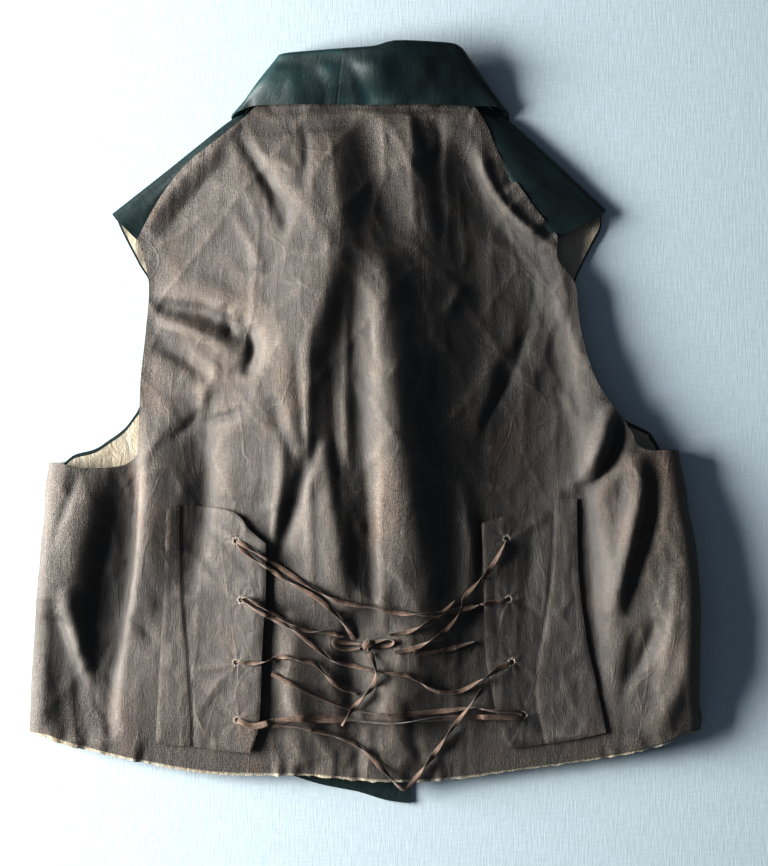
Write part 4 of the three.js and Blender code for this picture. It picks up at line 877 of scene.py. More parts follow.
def age_group():
    """Uneven ageing: broad blots, long pressed streaks and small rumples."""
    group, start, end = new_group(
        "cloth age",
        [("Vector", "NodeSocketVector", None)],
        [("Blots", "NodeSocketFloat"), ("Streaks", "NodeSocketFloat"), ("Rumples", "NodeSocketFloat"),
         ("Creases", "NodeSocketFloat")],
    )
    vector = start.outputs["Vector"]
    blots = grain(group, stretch(group, vector, 1, 0.6), 22, 3, 0.55, 0.4)
    wide = grain(group, stretch(group, vector, 1, 0.07), 170, 3, 0.6, 0.2)
    narrow = grain(group, stretch(group, vector, 1, 0.05), 520, 3, 0.6, 0.1)
    streaks = calculate(group, "ADD", calculate(group, "MULTIPLY", wide, 0.6), calculate(group, "MULTIPLY", narrow, 0.4))
    rumples = grain(group, stretch(group, vector, 1, 0.5), 120, 4, 0.55, 0.8)
    for label, value in (("Blots", blots), ("Streaks", streaks), ("Rumples", rumples)):
        group.links.new(spread(group, value, 0.32, 0.68), end.inputs[label])
    lines = []
    for x, y, scale in ((1, 0.22, 30), (0.5, 1, 17), (1, 0.75, 24)):
        folded = calculate(group, "SUBTRACT", grain(group, stretch(group, vector, x, y), scale, 1, 0.4, 0.15), 0.5)
        lines.append(spread(group, calculate(group, "ABSOLUTE", folded), 0, 0.02, 1, 0))
    creases = calculate(group, "ADD", calculate(group, "ADD", lines[0], lines[1]), lines[2])
    where = spread(group, grain(group, vector, 26, 2, 0.5), 0.44, 0.58, 0.1, 1)
    group.links.new(calculate(group, "MULTIPLY", creases, where), end.inputs["Creases"])
    return group


def new_material(name):
    material = bpy.data.materials.new(name)
    material.use_nodes = True
    tree = material.node_tree
    tree.nodes.clear()
    shader = tree.nodes.new("ShaderNodeBsdfPrincipled")
    output = tree.nodes.new("ShaderNodeOutputMaterial")
    tree.links.new(shader.outputs[0], output.inputs[0])
    return material, tree, shader


def set_shader(tree, shader, **inputs):
    for key, value in inputs.items():
        label = key.replace("_", " ")
        if isinstance(value, bpy.types.NodeSocket):
            tree.links.new(value, shader.inputs[label])
        else:
            shader.inputs[label].default_value = value


def bump(tree, height, distance, strength=1.0, normal=None):
    inputs = {"Height": height, "Distance": distance, "Strength": strength}
    if normal is not None:
        inputs["Normal"] = normal
    return node(tree, "ShaderNodeBump", inputs).outputs[0]


def cloth_coordinates(tree):
    return node(tree, "ShaderNodeUVMap", uv_map="cloth").outputs[0]


def make_cotton(groups, colours, name="glazed brown cotton"):
    """Brown cotton with a rubbed glaze: greyer on ridges and dark in hollows, partly from rubbing and partly as painted
    highlight and painted shade; rusty in places; with painted shade on the right half and the left side.
    """
    material, tree, shader = new_material(name)
    vector = cloth_coordinates(tree)
    weave = use_group(tree, groups["weave"], Vector=vector, Threads=1500.0)
    age = use_group(tree, groups["age"], Vector=vector)
    ridge = node(tree, "ShaderNodeAttribute", attribute_name="ridge").outputs["Fac"]
    dark, light, rust = (tuple(colour) for colour in colours)
    # Ridges lighter and hollows darker: partly rubbed wear, partly painted highlight on ridges and painted shade in
    # hollows.
    rubbed = spread(tree, ridge, 0.42, 0.75)
    tone = calculate(tree, "ADD", calculate(tree, "MULTIPLY", age.outputs["Blots"], 0.3),
                     calculate(tree, "MULTIPLY", age.outputs["Streaks"], 0.1))
    tone = calculate(tree, "ADD", tone, calculate(tree, "MULTIPLY", age.outputs["Creases"], 0.12))
    tone = calculate(tree, "ADD", tone, calculate(tree, "MULTIPLY", rubbed, 0.5))
    colour = blend_colour(tree, tone, dark, light)
    rust_blots = grain(tree, stretch(tree, vector, 1, 0.7), 14, 3, 0.6, 0.5)
    colour = blend_colour(tree, spread(tree, rust_blots, 0.56, 0.74, 0, 0.45), colour, rust)
    threads = calculate(tree, "ADD", weave.outputs["Warp"], weave.outputs["Weft"])
    shade = spread(tree, threads, 0.78, 1.22, 0.5, 1.5)
    # Painted shade: the cotton's colour is darkened on the right half and on the left side.
    shade_attribute = node(tree, "ShaderNodeAttribute", attribute_name="painted_shade").outputs["Fac"]
    shade = calculate(tree, "MULTIPLY", shade, shade_attribute)
    thread_colour = node(tree, "ShaderNodeCombineColor", {0: shade, 1: shade, 2: shade}).outputs[0]
    colour = blend_colour(tree, 1.0, colour, thread_colour, "MULTIPLY")
    rough = spread(tree, age.outputs["Rumples"], 0, 1, 0.5, 0.6)
    rough = calculate(tree, "ADD", rough, calculate(tree, "MULTIPLY", threads, 0.05))
    rumpled = bump(tree, age.outputs["Rumples"], 0.0004, 0.4)
    pressed = bump(tree, age.outputs["Streaks"], 0.0002, 0.35, rumpled)
    creased = bump(tree, age.outputs["Creases"], 0.0004, 0.35, pressed)
    woven = bump(tree, weave.outputs["Height"], 0.0004, 0.7, creased)
    set_shader(tree, shader, Base_Color=colour, Roughness=rough, Normal=woven)
    set_shader(tree, shader, Specular_IOR_Level=0.8, Sheen_Weight=0.05, Sheen_Roughness=0.4)
    return material


def make_satin(groups, colour_pair):
    """Dark green silk satin: long fine floats, a tight sheen, paler on ridges, partly where rubbed and partly as
    painted highlight.
    """
    material, tree, shader = new_material("green silk satin")
    vector = cloth_coordinates(tree)
    age = use_group(tree, groups["age"], Vector=vector)
    ridge = node(tree, "ShaderNodeAttribute", attribute_name="ridge").outputs["Fac"]
    floats = grain(tree, stretch(tree, vector, 1, 0.03), 2600, 3, 0.65)
    broad = grain(tree, vector, 60, 4, 0.6, 0.6)
    dark, light = (tuple(colour) for colour in colour_pair)
    # Paler on ridges: partly rubbed satin, partly painted highlight.
    tone = calculate(tree, "ADD", calculate(tree, "MULTIPLY", age.outputs["Blots"], 0.3),
                     calculate(tree, "MULTIPLY", spread(tree, ridge, 0.45, 0.85), 0.45))
    tone = calculate(tree, "ADD", tone, calculate(tree, "MULTIPLY", floats, 0.25))
    colour = blend_colour(tree, tone, dark, light)
    rough = calculate(tree, "ADD", spread(tree, broad, 0.3, 0.7, 0.42, 0.54), calculate(tree, "MULTIPLY", floats, 0.08))
    soft = bump(tree, broad, 0.0006, 0.6)
    lined = bump(tree, age.outputs["Rumples"], 0.0003, 0.4, soft)
    woven = bump(tree, floats, 0.00018, 0.6, lined)
    set_shader(tree, shader, Base_Color=colour, Roughness=rough, Normal=woven)
    set_shader(tree, shader, Specular_IOR_Level=0.5, Sheen_Weight=0.02, Sheen_Roughness=0.35)
    shader.inputs["Sheen Tint"].default_value = (0.5, 0.75, 0.8, 1)
    return material


def make_lining(groups, colour_pair, name="cream lining"):
    """Unbleached cotton, tea-coloured in blots."""
    material, tree, shader = new_material(name)
    vector = cloth_coordinates(tree)
    weave = use_group(tree, groups["weave"], Vector=vector, Threads=1300.0)
    age = use_group(tree, groups["age"], Vector=vector)
    light, stained = (tuple(colour) for colour in colour_pair)
    tone = calculate(tree, "ADD", calculate(tree, "MULTIPLY", age.outputs["Blots"], 0.5),
                     calculate(tree, "MULTIPLY", age.outputs["Rumples"], 0.25))
    colour = blend_colour(tree, tone, light, stained)
    rumpled = bump(tree, age.outputs["Rumples"], 0.0008, 0.6)
    woven = bump(tree, weave.outputs["Height"], 0.0003, 0.7, rumpled)
    set_shader(tree, shader, Base_Color=colour, Roughness=spread(tree, weave.outputs["Warp"], 0.3, 0.7, 0.75, 0.92))
    set_shader(tree, shader, Normal=woven, Specular_IOR_Level=0.3, Sheen_Weight=0.1)
    return material


def make_tape(groups, colour_pair):
    """Narrow cotton tape, ribbed along its length and rubbed pale on the crests."""
    material, tree, shader = new_material("brown lacing tape")
    vector = cloth_coordinates(tree)
    age = use_group(tree, groups["age"], Vector=vector)
    ribs = grain(tree, stretch(tree, vector, 1, 0.08), 2400, 3, 0.6, 0.2)
    fuzz = grain(tree, vector, 5200, 3, 0.7)
    blots = grain(tree, vector, 90, 3, 0.6)
    dark, light = (tuple(colour) for colour in colour_pair)
    tone = calculate(tree, "ADD", calculate(tree, "MULTIPLY", spread(tree, ribs, 0.35, 0.65), 0.5),
                     calculate(tree, "MULTIPLY", spread(tree, blots, 0.35, 0.65), 0.5))
    colour = blend_colour(tree, tone, dark, light)
    ribbed = bump(tree, ribs, 0.0005, 0.9)
    fuzzy = bump(tree, fuzz, 0.00018, 0.7, ribbed)
    rough = spread(tree, age.outputs["Blots"], 0, 1, 0.55, 0.78)
    set_shader(tree, shader, Base_Color=colour, Roughness=rough, Normal=fuzzy)
    set_shader(tree, shader, Specular_IOR_Level=0.35, Sheen_Weight=0.2)
    return material


def make_thread(name, colour):
    """Sewing thread with a fine twist."""
    material, tree, shader = new_material(name)
    place = node(tree, "ShaderNodeTexCoord").outputs["Object"]
    twist = grain(tree, place, 4200, 2, 0.6)
    dark = tuple(0.55 * c for c in colour[:3]) + (1,)
    set_shader(tree, shader, Base_Color=blend_colour(tree, spread(tree, twist, 0.3, 0.7), dark, tuple(colour)))
    set_shader(tree, shader, Roughness=spread(tree, twist, 0.3, 0.7, 0.5, 0.75), Normal=bump(tree, twist, 0.0002, 0.8))
    return material


def make_horn(colour_pair):
    """Turned dark horn with paler growth streaks and a dull polish."""
    material, tree, shader = new_material("dark horn")
    place = node(tree, "ShaderNodeTexCoord").outputs["Object"]
    streaks = grain(tree, stretch(tree, place, 0.25, 1), 420, 5, 0.6, 1.2)
    scratches = grain(tree, stretch(tree, place, 1, 0.1), 1800, 2, 0.6)
    dark, light = (tuple(colour) for colour in colour_pair)
    set_shader(tree, shader, Base_Color=blend_colour(tree, spread(tree, streaks, 0.5, 0.75), dark, light))
    set_shader(tree, shader, Roughness=spread(tree, scratches, 0.3, 0.7, 0.24, 0.42))
    set_shader(tree, shader, Normal=bump(tree, scratches, 0.00006, 0.6), Specular_IOR_Level=0.5)
    return material


def make_table(colour):
    """Pale plain table under the part."""
    material, tree, shader = new_material("pale table")
    place = node(tree, "ShaderNodeTexCoord").outputs["Object"]
    across = grain(tree, stretch(tree, place, 1, 0.1), 700, 2, 0.6)
    up = grain(tree, stretch(tree, place, 0.1, 1), 700, 2, 0.6)
    threads = calculate(tree, "ADD", across, up)
    darker = tuple(0.93 * c for c in tuple(colour)[:3]) + (1,)
    set_shader(tree, shader, Base_Color=blend_colour(tree, spread(tree, threads, 0.8, 1.2), darker, tuple(colour)))
    set_shader(tree, shader, Roughness=0.9, Specular_IOR_Level=0.2, Normal=bump(tree, threads, 0.0003, 0.35))
    return material


# ---------- the back ----------
FOLD_COLUMNS = 14


def body_columns(cell):
    """Shares across the body at the underarm for each column, and the first and last of the middle."""
    width = 470
    left = max(4, round(LEFT_SHARE * width / cell))
    middle = round((1 - LEFT_SHARE - RIGHT_SHARE) * width / cell)
    right = max(3, round(RIGHT_SHARE * width / cell))
    share = np.concatenate([
        np.linspace(0, LEFT_SHARE, left + 1),
        np.linspace(LEFT_SHARE, 1 - RIGHT_SHARE, middle + 1)[1:],
        np.linspace(1 - RIGHT_SHARE, 1, right + 1)[1:],
    ])
    return share, left, middle


LEFT_SIDE = curve(BACK["left_side"])
RIGHT_SIDE = curve(BACK["right_side"])
ACROSS_CHEST = straight(BACK["left_armhole"][0], BACK["right_armhole"][0])
UNDERARMS = chain([
    (curve(BACK["left_underarm"]), LEFT_SHARE),
    (ACROSS_CHEST, 1 - LEFT_SHARE - RIGHT_SHARE),
    (curve(BACK["right_underarm"]), RIGHT_SHARE),
])
BODY = patch(curve(BACK["hem"]), UNDERARMS, lambda t: LEFT_SIDE(t) + (ROLL_LEFT, 0),
             lambda t: RIGHT_SIDE(t) - (ROLL_RIGHT, 0))
SHOULDERS = chain([
    (curve(BACK["left_shoulder"]), SHOULDER_SHARE),
    (curve(BACK["neck"]), 1 - 2 * SHOULDER_SHARE),
    (curve(BACK["right_shoulder"]), SHOULDER_SHARE),
])
CHEST = patch(ACROSS_CHEST, SHOULDERS, curve(BACK["left_armhole"]), curve(BACK["right_armhole"]))


def body_place(share, turn, t, wrinkle):
    """Points and cloth coordinates of the body; turn is 0 on top and goes to pi round a side."""
    flat = BODY(share, t)
    x, y = flat[:, 0], flat[:, 1]
    out = np.where(share < 0.5, -1, 1)
    reach = np.where(share < 0.5, ROLL_LEFT, ROLL_RIGHT)
    top = cloth_height(x, y, wrinkle)
    middle = (top + CLOTH / 2) / 2
    dents = 0.6 * noise(y / 24, turn * 1.2, 11) + 0.2 * noise(y / 7, turn * 2, 12)
    round_x = out * (reach + dents) * np.sin(turn)
    points = np.stack([x + round_x, y, middle + (top - middle) * np.cos(turn)], -1)
    arc = turn * (reach + top / 2) / 2
    return points, np.stack([x + out * arc, y], -1)


def make_back(cell, wrinkle):
    share, left, middle = body_columns(cell)
    columns = np.concatenate([np.zeros(FOLD_COLUMNS), share, np.ones(FOLD_COLUMNS)])
    fold = np.linspace(math.pi, 0, FOLD_COLUMNS + 1)[:-1]
    turns = np.concatenate([fold, np.zeros(len(share)), fold[::-1]])
    body_rows = round(235 / cell)
    chest_rows = round(262 / cell)

    def body(column, row):
        at = column.astype(int)
        return body_place(columns[at], turns[at], row / body_rows, wrinkle)

    def chest(column, row):
        flat = CHEST(column / middle, row / chest_rows)
        z = cloth_height(flat[:, 0], flat[:, 1], wrinkle)
        return np.column_stack([flat, z]), flat

    lower = grid("back_panel", len(columns) - 1, body_rows, body)
    upper = grid("back_chest", middle, chest_rows, chest)
    return joined([lower, upper], merge=0.05)


def make_hem_edge(cell):
    """The lining's edge, from a little below the hem up inside it."""
    share, _, _ = body_columns(cell)
    fold = np.linspace(0, 0.62 * math.pi, 9)[1:]
    columns = np.concatenate([np.zeros(len(fold)), share, np.ones(len(fold))])
    turns = np.concatenate([fold[::-1], np.zeros(len(share)), fold])
    reaches = np.array([-HEM_PEEP, -HEM_PEEP * 0.5, 0, HEM_DEPTH / 3, 2 * HEM_DEPTH / 3, HEM_DEPTH])
    inside = 0.05

    def place(column, row):
        at = column.astype(int)
        hem, cloth = body_place(columns[at], turns[at], np.zeros(len(at)), 0.9)
        up, _ = body_place(columns[at], turns[at], np.full(len(at), inside), 0.9)
        way = (up - hem) / np.linalg.norm(up - hem, axis=1)[:, None]
        reach = reaches[row.astype(int)]
        scallop = np.where(reach < 0, 0.5 * noise(cloth[:, 0] / 5, row, 21) + 0.35 * noise(cloth[:, 0] / 2.4, row, 22), 0)
        return hem + way * (reach + scallop)[:, None], cloth + np.stack([0 * reach, reach], -1)

    piece = grid("hem_lining_edge", len(columns) - 1, len(reaches) - 1, place)
    points = read_points(piece.data)
    write_points(piece.data, points - read_normals(piece.data) * (LINING_RISE + 0.1))
    return piece


# ---------- the fronts ----------
def button_ridge(x, y, low=-263):
    across = smooth(-8, 3, x) * (1 - smooth(25, 33, x))
    return BUTTON_RISE * across * smooth(low, low + 11, y) * (1 - smooth(34, 50, y))


def neck_lift(front, x, y):
    distance, _, _ = nearest(curve(front["neckline"])(np.linspace(0, 1, 24)), x, y)
    return COLLAR_LIFT * (1 - smooth(13, 26, distance))


def left_front_height(x, y):
    return CLOTH / 2 + button_ridge(x, y) + neck_lift(LEFT_FRONT, x, y)


def right_front_height(x, y):
    over_collar = COLLAR_LIFT * smooth(-20, 10, y) * (1 - smooth(60, 110, y))
    lap = (1 - smooth(36, 62, x)) * (LAP_RISE + over_collar) + button_ridge(x, y, -280)
    return CLOTH / 2 + lap + neck_lift(RIGHT_FRONT, x, y)


def front_parts(front, side, height, tilt):
    junction = straight(front["underarm"][-1], [front["edge"], JUNCTION_Y])
    closing = straight([front["edge"], front["hem"][-1][1]], [front["edge"], JUNCTION_Y])
    top = chain([(curve(front["underarm"]), SIDE_WIDTH_SHARE), (junction, 1 - SIDE_WIDTH_SHARE)])
    edge = straight([front["edge"], JUNCTION_Y], front["neckline"][0])
    inner = chain([(edge, EDGE_SHARE), (curve(front["neckline"]), 1 - EDGE_SHARE)])
    fold_line = curve(front["shoulder_fold"])
    out = np.array(front["fold_out"])

    def roll(s):
        return mix(SHOULDER_ROLL, NECK_ROLL, s)

    def fold_base(s):
        return fold_line(s) - out * roll(s)[..., None]

    return {
        "body": patch(curve(front["hem"]), top, side, closing),
        "chest": patch(junction, fold_base, curve(front["armhole"]), inner),
        "base": fold_base, "roll": roll, "height": height, "out": out, "tilt": tilt,
    }


def flap_place(parts, seam, s, k):
    """Round the shoulder fold (k up to 1) and over the flap to under the back's edge (k up to 2)."""
    base, out = parts["base"](s), parts["out"]
    low = parts["height"](base[:, 0], base[:, 1])
    end = seam(s)
    high = back_height(end[:, 0], end[:, 1]) - 0.8
    turn = math.pi * np.clip(k, 0, 1)
    reach = parts["roll"](s) * np.sin(turn)
    over = np.clip(k - 1, 0, 1)
    meet = end - out * 3.2
    flat = base + out * reach[:, None] + (meet - base) * over[:, None]
    rise = mix(low, high, (1 - np.cos(turn)) / 2)
    wave = 0.8 * noise(s * 4.5, over * 1.2, 31) * np.sin(math.pi * over)
    lap = 0.9 * smooth(0.93, 0.99, over)
    fall_away = parts["tilt"] * (1 - over) * smooth(0, 1, k)
    z = rise + 1.0 * np.sin(math.pi * over) * (k > 1) + wave - lap - fall_away
    along = np.linalg.norm(meet - base, axis=1)
    cloth = base + out * (parts["roll"](s) * turn + along * over)[:, None]
    return np.column_stack([flat, z]), cloth


def make_front(name, parts, seam, cell):
    columns, side_columns = round(270 / cell), round(60 / cell)
    body_rows, chest_rows = round(250 / cell), round(190 / cell)
    fold_rows, flap_rows = 8, 16

    def lifted(flat):
        x, y = flat[:, 0], flat[:, 1]
        relief = 0.25 * noise(x / 34, y / 52, 33) * smooth(-8, -26, x - FRONT_EDGE_LEFT)
        return np.column_stack([flat, parts["height"](x, y) + 0 * relief])

    def body(column, row):
        share = np.concatenate([
            np.linspace(0, SIDE_WIDTH_SHARE, side_columns + 1),
            np.linspace(SIDE_WIDTH_SHARE, 1, columns + 1)[1:],
        ])
        flat = parts["body"](share[column.astype(int)], row / body_rows)
        return lifted(flat), flat

    def chest(column, row):
        s = column / columns
        flat = parts["chest"](s, np.clip(row / chest_rows, 0, 1))
        points, cloth = lifted(flat), flat.copy()
        after = row > chest_rows
        k = np.where(row <= chest_rows + fold_rows, (row - chest_rows) / fold_rows,
                     1 + (row - chest_rows - fold_rows) / flap_rows)
        points[after], cloth[after] = flap_place(parts, seam, s[after], k[after])
        return points, cloth

    lower = grid(name, side_columns + columns, body_rows, body)
    upper = grid(name + "_chest", columns, chest_rows + fold_rows + flap_rows, chest)
    return joined([lower, upper], merge=0.05)


def make_front_lining(name, parts, cell):
    columns, rows = round(150 / cell), round(240 / cell)
    split = 8

    def lifted(flat):
        x, y = flat[:, 0], flat[:, 1]
        rumple = 0.5 * (noise(x / 6, y / 15, 35) + 1)
        return np.column_stack([flat, parts["height"](x, y) + LINING_RISE + rumple])

    chest_from = mix(SIDE_WIDTH_SHARE, 1, 0.014)
    chest_to = mix(SIDE_WIDTH_SHARE, 1, 0.58)
    shares = np.concatenate([np.linspace(0.07, chest_from, split + 1), np.linspace(chest_from, chest_to, columns + 1)[1:]])

    def body(column, row):
        t = mix(0.03, 1, row / rows)
        flat = parts["body"](shares[column.astype(int)], np.minimum(t, 0.985))
        return lifted(flat), flat

    def chest(column, row):
        s = mix(0.014, 0.58, column / columns)
        flat = parts["chest"](s, mix(0.0, 0.985, row / rows))
        return lifted(flat), flat

    lower = grid(name, split + columns, rows, body)
    upper = grid(name + "_chest", columns, rows, chest)
    upper_points, lower_points = read_points(upper.data), read_points(lower.data)
    first = split
    for column in range(columns + 1):
        lower_points[rows * (split + columns + 1) + first + column] = upper_points[column]
    write_points(lower.data, lower_points)
    return joined([lower, upper], merge=0.05)


def make_facing(parts, cell):
    columns, rows = round(36 / cell), round(290 / cell)

    def place(column, row):
        s = mix(SIDE_WIDTH_SHARE, 1, mix(0.835, 1, column / columns))
        flat = parts["body"](s, row / rows)
        x, y = flat[:, 0], flat[:, 1]
        z = left_front_height(x, y) + LINING_RISE + 0.12 * noise(x / 6, y / 9, 37)
        return np.column_stack([flat, z]), flat
    return grid("front_facing_silk", columns, rows, place)


# ---------- the collar ----------
STAND_END = 0.42
ROLL_END = 0.52


def collar_place(stations, hand, u, v):
    """Points of a collar half, u from the centre back to the front's end, v from seam to edge."""
    table = np.array([[*row["edge"], *row["fold"], *row["seam"], row["z"], row["open"], row["faces"]]
                      for row in stations])
    way = np.interp(u, shares(table[:, 2:4] + table[:, 0:2]), np.linspace(0, 1, len(table)))
    row = spline(table, way)
    edge, fold, seam = row[:, 0:2], row[:, 2:4], row[:, 4:6]
    z, opening, faces = row[:, 6], row[:, 7], np.radians(row[:, 8])
    fall = fold - edge
    up = fall / np.linalg.norm(fall, axis=1)[:, None]
    out = np.stack([-hand * up[:, 1] * np.cos(faces), hand * up[:, 0] * np.cos(faces), np.sin(faces)], -1)
    crest = fold - up * 2
    turn = math.pi * np.clip((v - STAND_END) / (ROLL_END - STAND_END), 0, 1)
    stand = np.clip(v / STAND_END, 0, 1)
    hang = np.clip((v - ROLL_END) / (1 - ROLL_END), 0, 1)
    roll = (opening / 2 + 0.6) * np.sin(turn)
    flat = mix(seam, crest, stand[:, None]) + up * roll[:, None] + (edge - crest) * hang[:, None]
    shows = smooth(-0.2, 0.9, np.sin(faces)) * smooth(0.02, 0.3, hang)
    x, y = flat[:, 0], flat[:, 1]
    wave = 1.1 * noise(x / 26, y / 30, 41) + 0.3 * noise(x / 9, y / 14, 42) + 0.9 * np.sin(math.pi * hang)
    wave += fold_sum(COLLAR_FOLDS, x, y, 2)
    droop = 1.3 * smooth(0.55, 1, hang)
    away = opening / 2 * (1 - np.cos(turn)) + shows * (wave - droop)
    points = np.column_stack([flat, z]) + out * away[:, None]
    high = 11 * np.exp(-(((x - 12) / 50) ** 2)) * mix(1, 0.2, smooth(0.3, 1, hang)) * smooth(0.05, 0.5, v) * smooth(0.3, 0.9, np.sin(faces))
    seam_dip = 0.22 * np.exp(-((u * 330 / 1.6) ** 2)) * shows
    corner = 2.2 * smooth(0.4, 1, hang) * smooth(0.3, 0.9, np.sin(faces)) * smooth(56, 84, np.abs(x - 5))
    points[:, 2] += high - seam_dip - corner
    points[:, 0] += hand * 0.42 * (1 - smooth(0, 0.02, u))
    run = v * 78
    return points, np.stack([u * 330, run], -1)


def make_collar(name, stations, hand, cell):
    columns, rows = round(330 / cell), 44

    def place(column, row):
        return collar_place(stations, hand, column / columns, row / rows)

    piece = grid(name, columns, rows, place)
    activate(piece)
    return piece


# ---------- tabs ----------
def tab_height(tab, x, y):
    """The tab's middle over the table, with its sewn band, seams and creases."""
    lift = TAB_LIFT * smooth(tab["lift_from"], tab["lift_to"], x)
    middle = back_height(x, y) + CLOTH + TAB_REST + lift
    band = curve(tab["band"])(np.linspace(0, 1, 14))
    distance, _, side = nearest(band, x, y)
    outward = side * (1 if tab["lift_to"] > tab["lift_from"] else -1)
    step = 0.55 * smooth(-0.6, 0.9, distance * outward) - 0.5 * np.exp(-((distance / 1.4) ** 2))
    relief = fold_sum(tab["creases"], x, y, 1.5)
    relief += 0.35 * (ridged(x / 12, y / 40, 51) - 0.4) + 0.3 * noise(x / 7, y / 9, 52)
    for ex, ey in tab["eyelets"]:
        away = np.hypot(x - ex, y - ey)
        angle = np.arctan2(y - ey, x - ex)
        relief += 0.45 * np.exp(-((away / 9) ** 2)) * np.sin(7 * angle + ex) * smooth(1, 5, away)
    return middle + step + relief * 0.9


def on_tab(tab, x, y):
    inward = np.sign(tab["lift_to"] - tab["lift_from"])
    near_edge = (tab["lift_to"] - x) * inward > -2
    return near_edge & (y > tab["bottom"][-1][1]) & (y < tab["top"][0][1])


def cloth_top(x, y):
    """The upper face of what the lace lies on."""
    top = cloth_height(x, y)
    for tab in (TAB_LEFT, TAB_RIGHT):
        top = np.where(on_tab(tab, x, y), np.maximum(tab_height(tab, x, y), top), top)
    return top + CLOTH / 2


def make_tab(name, tab, cell):
    at = patch(curve(tab["bottom"]), curve(tab["top"]), curve(tab["outer"]), curve(tab["inner"]))
    columns, rows = round(74 / cell), round(180 / cell)

    def place(column, row):
        s, t = column / columns, row / rows
        flat = at(s, t)
        z = tab_height(tab, flat[:, 0], flat[:, 1])
        border = np.minimum(np.minimum(s, 1 - s) * 74, np.minimum(t, 1 - t) * 180)
        return np.column_stack([flat, z - 0.5 * (1 - smooth(0, 2.6, border))]), flat
    return grid(name, columns, rows, place)


def cut_eyelets(piece, tab):
    cutters = []
    for x, y in tab["eyelets"]:
        z = float(tab_height(tab, np.array([x]), np.array([y]))[0])
        deselect()
        bpy.ops.mesh.primitive_cylinder_add(vertices=20, radius=EYELET_HOLE * MM, depth=8 * MM,
                                            location=(x * MM, y * MM, z * MM))
        cutters.append(bpy.context.object)
    cutter = joined(cutters)
    activate(piece)
    hole = piece.modifiers.new("eyelets", "BOOLEAN")
    hole.operation = "DIFFERENCE"
    hole.object = cutter
    hole.solver = "EXACT"
    bpy.ops.object.modifier_apply(modifier=hole.name)
    remove(cutter)


def make_eyelet_thread(name, tab, stitch):
    """Buttonhole stitches set radially round each eyelet, with their purl at the hole."""
    places, forwards, ups, scales = [], [], [], []
    rng = np.random.default_rng(61)
    for x, y in tab["eyelets"]:
        for i in range(20):
            angle = 2 * math.pi * (i + rng.uniform(-0.35, 0.35)) / 20
            way = np.array([math.cos(angle), math.sin(angle)])
            middle = np.array([x, y]) + way * (EYELET_HOLE + EYELET_RING) / 2
            z = float(tab_height(tab, middle[:1], middle[1:])[0]) + 0.62 + CLOTH * 0.1
            places.append([*middle, z])
            forwards.append([*way, rng.uniform(-0.08, 0.08)])
            ups.append([0, 0, 1])
            scales.append([rng.uniform(0.8, 1.6), 0.9, 0.9])
        for i in range(18):
            angle = 2 * math.pi * i / 18
            way = np.array([math.cos(angle), math.sin(angle)])
            middle = np.array([x, y]) + way * (EYELET_HOLE + 0.05)
            z = float(tab_height(tab, middle[:1], middle[1:])[0]) + 0.62
            places.append([*middle, z])
            forwards.append([-way[1], way[0], 0])
            ups.append([0, 0, 1])
            scales.append([0.62, 0.9, 0.9])
    return stamped(name, stitch, places, forwards, ups, scales)


# ---------- lace ----------
TAPE_POINTS = 14


def lace_path(route, turns, phase, width, thickness):
    """The tape's middle line and its turning, resting on the cloth and diving into eyelets."""
    flat = curve(np.array(route)[:, :2])
    length = np.linalg.norm(np.diff(flat(np.linspace(0, 1, 60)), axis=0), axis=1).sum()
    count = max(24, round(length / 1.1))
    t = np.linspace(0, 1, count)
    line = flat(t)
    key_share = shares(spline(np.array(route)[:, :2], np.linspace(0, 1, 30 * (len(route) - 1) + 1)))[::30]
    over = np.interp(t, key_share, np.array(route)[:, 2])
    turn = phase + 2 * math.pi * turns * t + 0.7 * noise(t * length / 26, t * 0, round(phase * 10) + 70)
    edge_on = np.abs(np.sin(turn))
    rest = thickness / 2 + 0.3 + edge_on * (width - thickness) / 2
    step = 0.35 * noise(t * length / 18, t * 0 + 5, round(phase * 10) + 71) + 0.35
    z = cloth_top(line[:, 0], line[:, 1]) + rest + step + over * 0.95
    calm = np.convolve(np.pad(z, 5, mode="edge"), np.hanning(13)[1:-1] / np.hanning(13)[1:-1].sum(), "valid")
    z = np.maximum(z, calm)
    narrow = np.ones(count)
    for tab in (TAB_LEFT, TAB_RIGHT):
        for ex, ey in tab["eyelets"]:
            for end in (0, -1):
                if np.hypot(line[end, 0] - ex, line[end, 1] - ey) < 6:
                    near = t if end == 0 else 1 - t
                    pull = np.exp(-((near * length / 3.0) ** 2))
                    goal = np.array([ex, ey])
                    line = mix(line, np.broadcast_to(goal, line.shape), (pull * 0.9)[:, None])
                    hole = float(tab_height(tab, np.array([float(ex)]), np.array([float(ey)]))[0])
                    z = mix(z, hole - 0.6, pull)
                    narrow *= 1 - 0.55 * pull
    return np.column_stack([line, z]), turn, narrow


